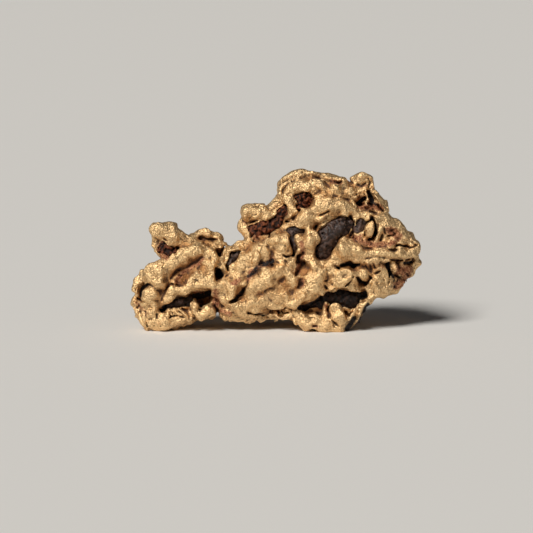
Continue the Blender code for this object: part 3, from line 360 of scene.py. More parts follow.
OVER_FOLDS = {
    # These lie over stones and hollows, and are laid on after both.
    "slot curl": [(-16.1, -3.7, 3.9, 0.26), (-15.2, -4.0, 3.5, 0.30), (-14.4, -4.0, 2.9, 0.34),
        (-13.7, -3.6, 2.1, 0.4)],
    "belly sheet": [(-2.4, -2.1, 5.4, 2.2), (-0.4, -2.3, 5.9, 2.4), (1.6, -2.5, 6.9, 2.4),
        (3.2, -2.6, 8.4, 2.3)],
    "knuckle": [(0.4, -4.2, 14.2, 1.6), (0.8, -4.2, 13.9, 1.6)],
    "upper band": [(-6.5, -3.5, 10.2, 0.9), (-4.8, -3.7, 11.6, 1.15), (-2.8, -3.8, 12.6, 1.3),
        (-1.6, -3.7, 13.0, 1.2)],
    "belly roll": [(-4.1, -4.1, 6.5, 0.8), (-2.7, -4.5, 7.4, 1.05), (-0.9, -4.7, 8.8, 1.15),
        (0.9, -4.6, 9.9, 0.9)],
    "groove floor": [(-4.4, -4.3, 8.9, 0.7), (-3.7, -4.4, 9.8, 0.6), (-2.2, -4.5, 10.6, 0.5),
        (-0.8, -4.5, 11.3, 0.6)],
    "seam wall": [(4.1, -4.1, 14.7, 0.8), (4.0, -4.2, 13.4, 0.8), (4.4, -4.1, 12.2, 0.7)],
    "lip crumbs": [(-3.6, -3.0, 2.6, 0.3), (-2.6, -3.1, 2.5, 0.22), (-1.4, -3.0, 2.7, 0.3),
        (-0.2, -3.1, 2.5, 0.2), (0.8, -3.2, 2.6, 0.32), (1.8, -3.3, 2.4, 0.35)],
    "heart west": [(-12.9, -3.9, 4.35, 0.72), (-12.9, -3.9, 3.3, 0.78), (-12.2, -3.8, 2.7, 0.6)],
    "heart east": [(-10.6, -3.9, 3.75, 0.95), (-11.4, -3.8, 3.1, 0.7), (-12.2, -3.8, 2.7, 0.55)],
    "notch bead": [(-5.4, -3.3, 12.2, 0.5), (-4.9, -3.5, 11.8, 0.45)],
    "groove bridge": [(-7.6, -3.8, 7.0, 1.0), (-6.2, -4.1, 7.5, 0.95), (-4.9, -4.2, 7.8, 0.9)],
    "groove bridge low": [(-6.8, -4.0, 6.6, 0.8), (-5.8, -4.2, 6.9, 0.6)],
    "tear lump": [(5.3, -4.2, 16.2, 1.0), (5.4, -4.5, 14.8, 1.45), (5.1, -4.4, 13.3, 1.15)],
    "seam bead": [(3.8, -4.5, 13.8, 0.42), (3.7, -4.6, 13.1, 0.48)],
    "seam crumb west": [(2.3, -4.0, 15.1, 0.30), (2.4, -4.1, 14.8, 0.26)],
    "seam crumb east": [(3.3, -4.2, 14.6, 0.34), (3.2, -4.3, 14.2, 0.30)],
    "seam crumb low": [(2.4, -4.2, 13.5, 0.34), (2.6, -4.3, 13.1, 0.30)],
    "great bulge": [(6.6, -3.9, 9.0, 1.5), (6.3, -3.9, 7.4, 1.7), (5.0, -3.4, 5.9, 1.4)],
    "east floor": [(12.4, -3.8, 14.3, 0.9), (14.2, -3.9, 13.8, 0.8), (16.4, -3.7, 13.9, 0.8),
        (18.3, -3.4, 14.2, 0.9), (19.4, -2.9, 14.2, 0.8)],
    "floor seam": [(17.6, -3.9, 13.6, 0.45), (18.9, -3.7, 13.45, 0.5), (19.6, -3.4, 13.45, 0.35)],
    "stone finger": [(15.4, -4.3, 17.1, 0.5), (15.0, -4.6, 16.4, 0.75), (14.7, -4.4, 15.5, 0.6)],
    "finger rim": [(14.0, -3.9, 18.7, 0.5), (14.9, -3.9, 18.6, 0.5)],
    "finger spur": [(-1.8, -2.7, 18.5, 0.6), (-1.7, -3.1, 17.7, 0.38)],
    "sponge bar west": [(14.3, -2.9, 22.5, 0.22), (14.5, -3.0, 21.4, 0.18), (14.6, -2.9, 20.5, 0.22)],
    "sponge bar east": [(15.5, -2.6, 22.1, 0.2), (16.1, -2.7, 21.0, 0.16), (16.4, -2.7, 20.0, 0.2)],
    "slit lip": [(16.3, -3.5, 18.2, 0.6), (16.6, -3.8, 17.0, 0.62), (16.4, -3.9, 15.8, 0.62),
        (16.0, -3.9, 14.9, 0.6)],
    "stone fringe west": [(13.3, -3.9, 15.3, 0.42), (13.0, -4.1, 14.6, 0.4)],
    "stone fringe east": [(14.2, -4.0, 15.3, 0.4), (14.0, -4.1, 14.6, 0.4)],
    "point bead": [(18.6, -3.6, 10.8, 0.55), (18.9, -3.6, 10.2, 0.5)],
    "cheek column": [(15.5, -3.6, 11.4, 0.45), (15.0, -3.9, 10.3, 0.5), (14.8, -3.9, 9.4, 0.4)],
    "cheek column east": [(16.8, -3.4, 11.3, 0.5), (16.9, -3.5, 10.0, 0.62), (17.0, -3.2, 8.6, 0.7),
        (16.2, -3.4, 7.4, 0.75)],
    "foot neck": [(7.9, -3.4, 4.5, 0.5), (7.7, -3.5, 3.4, 0.7), (7.8, -3.4, 2.4, 0.8)],
    "foot egg": [(9.3, -4.0, 3.7, 0.95), (9.8, -4.0, 2.9, 1.1), (10.0, -3.8, 2.0, 0.95)],
    "strand": [(16.0, -3.4, 6.5, 0.42), (15.4, -3.7, 5.9, 0.3), (14.4, -3.9, 5.1, 0.26),
        (13.3, -3.9, 4.2, 0.34), (12.2, -3.8, 3.2, 0.32), (11.2, -3.6, 2.4, 0.42)],
    "strand twist": [(15.2, -3.8, 5.6, 0.2), (14.6, -4.0, 5.4, 0.2), (13.9, -4.1, 4.5, 0.22),
        (13.0, -4.2, 4.1, 0.2)],
    "strand fork": [(13.3, -3.8, 4.2, 0.3), (13.4, -3.6, 3.1, 0.26), (12.9, -3.2, 1.6, 0.34)],
}

BACK_FOLDS = {
    "back west knob": [(-18.0, 0.6, 15.4, 1.3), (-16.6, 1.4, 13.6, 1.3), (-15.4, 2.2, 11.8, 1.2)],
    "back arm top": [(-19.4, 2.0, 8.4, 1.3), (-16.0, 2.6, 10.4, 1.4), (-12.4, 2.9, 12.2, 1.4),
        (-8.8, 2.8, 12.6, 1.2)],
    "back arm middle": [(-20.4, 1.6, 5.2, 1.3), (-16.6, 2.8, 6.0, 1.4), (-12.6, 3.6, 7.8, 1.4),
        (-8.4, 4.0, 9.4, 1.5)],
    "back arm foot": [(-19.8, 1.8, 1.4, 1.5), (-17.2, 2.6, 1.2, 1.5), (-14.4, 3.0, 2.6, 1.2),
        (-10.8, 3.2, 4.4, 1.1)],
    "back low fold": [(-9.2, 3.4, 5.0, 1.3), (-5.4, 4.2, 4.6, 1.4), (-1.4, 4.8, 5.0, 1.5),
        (2.6, 5.0, 4.2, 1.5)],
    "back centre fold": [(-6.0, 4.0, 11.6, 1.2), (-2.4, 4.8, 10.8, 1.5), (1.6, 5.6, 11.4, 1.7),
        (5.2, 6.0, 13.4, 1.6)],
    "back finger fold": [(-3.6, 1.8, 18.2, 1.1), (-0.8, 2.8, 18.4, 1.4), (1.6, 3.6, 17.0, 1.4),
        (3.0, 4.8, 15.2, 1.3)],
    "back crown": [(2.4, 2.6, 23.2, 1.3), (5.8, 3.4, 23.4, 1.5), (9.4, 3.4, 22.8, 1.4),
        (12.8, 2.4, 22.0, 1.4)],
    "back long fold": [(3.6, 4.2, 20.0, 1.4), (7.0, 5.4, 19.0, 1.7), (10.6, 5.6, 17.2, 1.7),
        (13.2, 5.0, 15.0, 1.5)],
    "back east fold": [(12.4, 3.6, 19.2, 1.4), (15.6, 3.0, 17.4, 1.4), (18.4, 2.2, 15.4, 1.4),
        (20.6, 1.4, 13.8, 1.3)],
    "back belly": [(5.8, 6.0, 9.4, 1.7), (9.2, 6.6, 11.4, 1.7), (12.6, 5.8, 11.8, 1.5),
        (16.4, 3.8, 11.8, 1.4)],
    "back south east": [(6.4, 5.2, 6.0, 1.6), (10.2, 5.8, 7.4, 1.6), (14.0, 5.0, 8.2, 1.5),
        (17.6, 2.8, 9.2, 1.3)],
    "back foot": [(4.8, 4.6, 1.6, 1.5), (7.6, 5.4, 0.6, 1.6), (10.4, 5.2, 0.8, 1.6), (12.4, 4.4, 2.8, 1.5),
        (13.2, 4.0, 5.4, 1.4)],
}

# %% [markdown]
# ## Laying the folds on
#
# The CAD solid is faceted, so it is blurred a little and sunk by a hair, to be a smooth core. The folds are
# then laid over it with a small blend: a large one would melt them together and lose the creases between.

# %% Folds over the core
BALL_STEP = 0.45           # mm between balls along a fold
REACH = 0.9                # mm, how far from a fold its distance is worked out
FAR = 9.0                  # mm, where nothing was worked out
TINY = 1e-9                # keeps a division from meeting zero
CORE_BLUR = 0.28           # mm
CORE_SINK = 0.10           # mm
FOLD_BLEND = 0.85          # mm
SWEEP_STEP = 0.3           # mm at most between the copies of a chain that cut a deep hollow
SWEEP_NARROWING = 0.3      # of a ball's radius, lost by the end of the sweep


def smooth_route(route):
    """Balls every BALL_STEP along a smooth curve through a route's own balls, in the frame."""
    balls = [np.array((*from_drawing(x, y, z), r)) for x, y, z, r in route]
    ends = [2 * balls[0] - balls[1], *balls, 2 * balls[-1] - balls[-2]]
    found = []
    for before, start, end, after in zip(ends, ends[1:], ends[2:], ends[3:]):
        steps = max(1, math.ceil(np.linalg.norm((end - start)[:3]) / BALL_STEP))
        for t in np.arange(steps) / steps:
            found.append(0.5 * (2 * start + (end - before) * t
                                + (2 * before - 5 * start + 4 * end - after) * t ** 2
                                + (3 * start - before - 3 * end + after) * t ** 3))
    return found + [balls[-1]]


def window(low, high):
    """The part of the block between two corners, as slices."""
    first = np.clip(np.floor((low - block_low) / CELL).astype(int), 0, block_shape)
    last = np.clip(np.ceil((high - block_low) / CELL).astype(int) + 1, 0, block_shape)
    return tuple(slice(a, b) for a, b in zip(first, last))


def chain_distance(route):
    """The distance to a chain of balls joined by rods, and the part of the block that it is given for."""
    balls = np.array(smooth_route(route))
    reach = balls[:, 3:] + REACH
    whole = window((balls[:, :3] - reach).min(0), (balls[:, :3] + reach).max(0))
    distance = np.full([s.stop - s.start for s in whole], FAR, np.float32)
    for start, end in zip(balls, balls[1:]):
        pair = np.array((start, end))
        low = (pair[:, :3] - pair[:, 3:] - REACH).min(0)
        high = (pair[:, :3] + pair[:, 3:] + REACH).max(0)
        near = window(low, high)
        x, y, z = np.meshgrid(*[axes[i][near[i]] - start[i] for i in range(3)], indexing="ij", sparse=True)
        way = (end - start)[:3]
        along = np.clip((x * way[0] + y * way[1] + z * way[2]) / max(way @ way, TINY), 0, 1)
        gap = np.sqrt((x - along * way[0]) ** 2 + (y - along * way[1]) ** 2 + (z - along * way[2]) ** 2)
        gap -= start[3] + along * (end[3] - start[3])
        inner = tuple(slice(n.start - w.start, n.stop - w.start) for n, w in zip(near, whole))
        distance[inner] = np.minimum(distance[inner], gap)
    return whole, distance


def lay_on(field, route, blend):
    """Joins a chain to a field."""
    place, distance = chain_distance(route)
    field[place] = soft_min(field[place], distance, blend)


def cut_out(field, route, blend, sweep):
    """Cuts a chain out of a field. The sweep carries the cut on in y, in steps, to a narrower end."""
    steps = math.ceil(abs(sweep) / SWEEP_STEP)
    for share in np.arange(steps + 1) / steps:
        moved = [(x, y + sweep * share, z, r * (1 - SWEEP_NARROWING * share)) for x, y, z, r in route]
        place, distance = chain_distance(moved)
        field[place] = soft_max(field[place], -distance, blend)


# %% [markdown]
# ## The stones come first
#
# The gold grew round its stones, so they are placed before it. Each is a chain of balls like a fold. A coat
# of gold is wrapped round every stone, and the mouth of its pocket is cut open later, so that the metal
# closes on the stone with no gap.

# %% Where the stones lie
STONE_ROUTES = {
    "ironstone_cup": [(-17.8, -2.0, 13.4, 0.7), (-17.2, -2.0, 12.7, 0.75)],
    "ironstone_slot": [(-16.9, -2.2, 4.0, 0.55), (-15.4, -2.2, 4.6, 0.85), (-13.8, -2.2, 5.0, 0.85)],
    "ironstone_centre": [(7.2, -2.8, 12.7, 1.15), (7.8, -2.9, 14.0, 1.45), (8.7, -3.1, 15.6, 1.75),
        (9.9, -3.2, 16.7, 1.7), (11.0, -3.1, 17.1, 1.3)],
    "ironstone_east": [(13.3, -3.1, 17.3, 1.05), (13.5, -3.1, 16.3, 0.95)],
    "ironstone_crown": [(4.1, -1.9, 21.3, 1.15), (4.8, -1.9, 20.9, 1.05), (4.1, -2.1, 20.3, 0.85)],
    "ironstone_finger": [(1.6, -1.8, 19.9, 0.45), (0.9, -1.8, 18.9, 0.8), (0.2, -1.8, 17.8, 1.05),
        (-0.6, -1.8, 16.9, 1.15), (-2.2, -1.8, 16.3, 1.1), (-3.6, -1.7, 16.3, 0.75)],
    "ironstone_seam": [(4.2, -3.2, 16.1, 0.5), (3.2, -3.3, 16.0, 0.8), (2.1, -3.2, 16.3, 0.45),
        (2.8, -3.5, 15.1, 0.6), (2.8, -3.8, 13.5, 0.42)],
    "ironstone_notch": [(-6.3, -2.2, 12.3, 0.75), (-7.0, -2.4, 11.2, 0.75)],
    "ironstone_foot": [(4.4, -2.0, 4.1, 0.75), (7.0, -2.1, 4.8, 1.0), (9.4, -2.2, 5.6, 1.1),
        (11.5, -2.2, 5.3, 1.4), (12.4, -2.1, 5.1, 1.25)],
}

GOLD_COAT = 0.55           # mm of gold wrapped round each stone
COAT_BLEND = 0.3           # mm
STONE_BLEND = 0.2          # mm

gold = blur(gold, CORE_BLUR) + CORE_SINK
stone_fields = {}
for name in STONES:
    stone_fields[name] = np.full(block_shape, FAR, np.float32)
    lay_on(stone_fields[name], STONE_ROUTES[name], STONE_BLEND)
    gold = soft_min(gold, stone_fields[name] - GOLD_COAT, COAT_BLEND)
for folds in (FRONT_FOLDS, BACK_FOLDS):
    for route in folds.values():
        lay_on(gold, route, FOLD_BLEND)
print("laid", len(FRONT_FOLDS) + len(BACK_FOLDS), "folds round", len(STONES), "stones")

# %% [markdown]
# ## Hollows
#
# Between the folds the gold has slots, holes and troughs. Each is a chain of balls too, cut out and carried
# some way further in, (sweep, chain). A sweep above zero goes in from the face, and one below zero from the
# back. The stones sit in pockets of their own shape, and the second table of folds is laid on last.

# %% The hollows
HOLLOWS = {
    "seam pits": (0.6, [(3.0, -5.2, 13.0, 0.3), (3.8, -5.2, 12.0, 0.4), (3.5, -5.2, 11.2, 0.25),
        (3.8, -5.3, 10.5, 0.4), (3.3, -5.3, 9.4, 0.3)]),
    "cup": (1.2, [(-17.9, -3.0, 13.2, 0.85), (-17.4, -3.0, 12.8, 0.7)]),
    "leaf crack": (0.3, [(-12.0, -1.5, 15.0, 0.2), (-11.2, -1.6, 14.75, 0.14), (-9.9, -1.5, 14.7, 0.16)]),
    "west trough": (0.8, [(-15.5, -4.5, 7.9, 0.8), (-14.2, -4.6, 9.3, 1.0), (-12.4, -4.5, 10.9, 0.8)]),
    "west crescent": (2.0, [(-21.7, -3.0, 5.3, 0.28), (-21.5, -3.2, 6.6, 0.4), (-20.5, -3.6, 7.7, 0.34)]),
    "slot": (3.4, [(-18.1, -4.4, 3.7, 0.35), (-16.6, -4.6, 4.4, 0.55), (-14.7, -4.8, 4.9, 0.75),
        (-12.8, -5.0, 5.9, 0.7), (-10.7, -5.0, 6.5, 0.45)]),
    "round hole": (4.4, [(-9.1, -4.6, 9.4, 0.95), (-8.9, -4.6, 9.1, 0.85)]),
    "crest pit": (1.2, [(-8.9, -3.2, 12.9, 0.35), (-8.7, -3.6, 12.2, 0.3)]),
    "notch": (3.0, [(-6.9, -3.8, 12.3, 0.7), (-6.3, -4.0, 11.9, 0.85), (-7.4, -4.2, 11.0, 0.6),
        (-7.2, -4.2, 10.2, 0.4)]),
    "centre groove": (0.5, [(-4.6, -5.2, 8.7, 0.45), (-4.1, -5.3, 9.5, 0.6), (-2.9, -5.5, 10.6, 0.36),
        (-1.5, -5.5, 10.9, 0.36), (-0.7, -5.5, 11.3, 0.55), (-0.5, -5.4, 12.0, 0.35)]),
    "south groove": (0.9, [(-7.0, -5.0, 4.9, 0.16), (-6.2, -5.1, 5.3, 0.32), (-5.5, -5.2, 5.7, 0.36),
        (-5.2, -5.2, 6.5, 0.24)]),
    "south undercut": (1.5, [(-4.4, -4.2, 3.05, 0.3), (-2.0, -4.2, 3.2, 0.38), (1.0, -4.2, 3.3, 0.35)]),
    "neck crack": (1.6, [(-9.4, -3.4, 3.4, 0.3), (-9.3, -3.2, 2.2, 0.35)]),
    "east trough": (0.5, [(12.8, -5.3, 14.9, 0.6), (14.8, -5.3, 14.5, 0.6), (17.0, -5.0, 14.6, 0.6),
        (18.8, -4.6, 14.9, 0.5)]),
    "point mouth": (0.4, [(19.8, -4.2, 13.85, 0.08), (20.9, -3.7, 13.6, 0.12), (22.0, -3.1, 13.85, 0.08)]),
    "stone slit": (1.2, [(15.2, -5.0, 18.2, 0.2), (15.6, -5.0, 17.6, 0.16), (15.95, -5.0, 16.6, 0.24),
        (15.6, -5.0, 15.5, 0.2)]),
    "sponge": (0.7, [(13.2, -3.6, 20.3, 0.36), (13.7, -3.4, 21.1, 0.28)]),
    "sponge pit": (0.8, [(14.8, -3.2, 22.2, 0.26), (15.2, -3.2, 21.2, 0.36), (15.0, -3.4, 20.4, 0.28)]),
    "sponge side": (1.0, [(16.6, -2.6, 20.2, 0.2), (17.0, -2.4, 19.4, 0.22)]),
    "foot mouth": (1.0, [(13.2, -4.0, 5.9, 0.45), (14.1, -3.6, 6.0, 0.4)]),
    "foot mouth low": (1.0, [(11.7, -4.6, 2.9, 0.3), (12.2, -4.4, 2.0, 0.35), (12.0, -4.2, 1.2, 0.25)]),
    "crater": (0.2, [(18.2, -4.7, 16.2, 0.75), (19.0, -4.4, 15.5, 0.85)]),
    "shelf hollow": (2.6, [(10.3, -5.5, 10.7, 0.35), (11.3, -5.6, 10.95, 0.55), (12.3, -5.6, 10.5, 0.5),
        (13.2, -5.4, 10.9, 0.3)]),
    "east gap": (1.0, [(17.5, -3.8, 11.2, 0.3), (17.8, -3.7, 10.3, 0.38), (18.1, -3.5, 9.4, 0.3)]),
    "cheek hollow": (1.6, [(13.1, -5.2, 8.4, 0.35), (13.8, -5.0, 7.9, 0.45), (14.9, -4.9, 8.3, 0.3)]),
    "brow crease": (0.8, [(3.6, -5.2, 19.6, 0.2), (2.6, -4.4, 18.2, 0.25), (1.6, -3.9, 17.6, 0.25)]),
    "back trough west": (-1.6, [(-17.4, 4.6, 8.0, 0.8), (-13.6, 5.2, 9.6, 0.8), (-9.6, 5.4, 11.2, 0.7)]),
    "back slot": (-2.2, [(-15.6, 5.2, 4.2, 0.8), (-11.4, 5.8, 6.2, 0.8), (-7.6, 6.2, 7.2, 0.7)]),
    "back pocket": (-2.6, [(-3.2, 7.4, 7.6, 0.9), (0.8, 8.0, 8.2, 1.1)]),
    "back notch": (-2.2, [(-2.0, 6.4, 14.0, 0.8), (0.6, 7.0, 14.2, 0.9)]),
    "back valley": (-2.0, [(6.4, 9.0, 15.6, 0.9), (9.4, 9.2, 14.4, 1.0), (12.6, 8.2, 13.4, 0.8)]),
    "back hole": (-3.0, [(8.6, 7.6, 20.9, 0.9), (10.0, 7.4, 20.0, 0.8)]),
    "back east dip": (-1.8, [(15.4, 6.2, 14.8, 0.8), (18.0, 5.4, 13.6, 0.7)]),
    "back south pocket": (-2.2, [(8.4, 8.8, 9.0, 0.7), (12.2, 8.2, 9.8, 0.8)]),
    "back foot arch": (-2.4, [(3.6, 7.4, 3.6, 0.7), (8.0, 8.0, 3.8, 0.9), (10.6, 7.8, 3.6, 0.7)]),
}

# %% Cut the hollows and the pockets
HOLLOW_BLEND = 0.18        # mm
OVER_BLEND = 0.35          # mm
POCKET_GAP = 0.02          # mm between a stone and the gold that holds it
POCKET_BLEND = 0.12        # mm
MOUTH_LENGTH = 3.0         # mm, how far in front of a stone its pocket is open
MOUTH_SIZE = 1.12          # of the stone's own radius

for sweep, route in HOLLOWS.values():
    cut_out(gold, route, HOLLOW_BLEND, sweep)
for route in STONE_ROUTES.values():
    mouth = [(x, y - MOUTH_LENGTH, z, MOUTH_SIZE * r) for x, y, z, r in route]
    cut_out(gold, mouth, HOLLOW_BLEND, MOUTH_LENGTH)
for route in OVER_FOLDS.values():
    lay_on(gold, route, OVER_BLEND)
for field in stone_fields.values():
    gold = soft_max(gold, POCKET_GAP - field, POCKET_BLEND)
print("cut", len(HOLLOWS), "hollows and", len(stone_fields), "pockets, laid", len(OVER_FOLDS), "folds over")

# %% [markdown]
# ## Bending everything a little
#
# Chains of balls give tubes, and a nugget has none. Each place of the block is looked up a little to one
# side, by an amount that wanders over a few millimetres, so straight rods become crooked and round ones
# dented. The back is bent further, because its folds are broad and would look like ropes laid side by side.
# Gold and stones are bent by the same amounts, and still fit.

# %% Bend
BEND_SIZE = 2.8            # mm
BEND_AMOUNT = 0.17         # mm
BEND_SEEDS = (41, 42, 43)
MOST_BEND = 2.0            # of the noise's own spread
BACK_FROM = 0.5            # mm of depth in the drawing, where the back begins
BACK_RAMP = 3.0            # mm further on, where it has grown to its full share
BACK_BEND = 0.42           # mm
BACK_BEND_SIZE = 3.8       # mm
BACK_SEEDS = (44, 45, 46)
SKIN = 1.0                 # mm either side of a surface that fine work is done in
LAST_CELL = 1.01           # cells kept free at the far end, so that every place has a next cell


def read(field, place):
    """The numbers of a field at places given in cells, between its cells too."""
    place = np.clip(place, 0, np.array(block_shape) - LAST_CELL)
    first = place.astype(int)
    share = place - first
    total = np.zeros(len(place))
    for corner in np.ndindex(2, 2, 2):
        part = np.prod(np.where(corner, share, 1 - share), axis=1)
        total += part * field[tuple((first + corner).T)]
    return total


def wander(size, seed):
    """A noise with its rare far ends cut off, so that no place is moved too far."""
    return np.clip(noise(size, seed), -MOST_BEND, MOST_BEND)


bend = [BEND_AMOUNT * wander(BEND_SIZE, seed) for seed in BEND_SEEDS]
depth = ((axes[1][:, None] - DRAWING_ORIGIN.y) * math.cos(LEAN_BACK)
         - (axes[2][None, :] - DRAWING_ORIGIN.z) * math.sin(LEAN_BACK))
share_behind = np.clip((depth - BACK_FROM) / BACK_RAMP, 0, 1)
behind = (share_behind * np.ones((block_shape[0], 1, 1))).astype(np.float32)
for part, seed in zip(bend, BACK_SEEDS):
    part += BACK_BEND * behind * wander(BACK_BEND_SIZE, seed)


def bent(field):
    """A field with each cell near its surface looked up a little to one side."""
    near = np.nonzero(np.abs(field) < SKIN)
    place = np.stack([near[i] + bend[i][near] / CELL for i in range(3)], axis=1)
    made = field.copy()
    made[near] = read(field, place)
    return made


gold = bent(gold)
stone_fields = {name: bent(field) for name, field in stone_fields.items()}
print("bent by up to", round(float(max(np.abs(b).max() for b in bend)), 2), "mm")

# %% [markdown]
# ## Creases, dimples and beads
#
# Finer marks are pressed into the skin. They are drawn face-on, as routes of (x, z), because that is how
# they are seen. Each gets a width and a height, which is below zero for a crease. They are put on a flat
# sheet of numbers first, and the sheet is then pressed into the front of the block. Adding a number to a
# distance field moves its surface along its own normal, so a mark goes straight into a sloping side too.

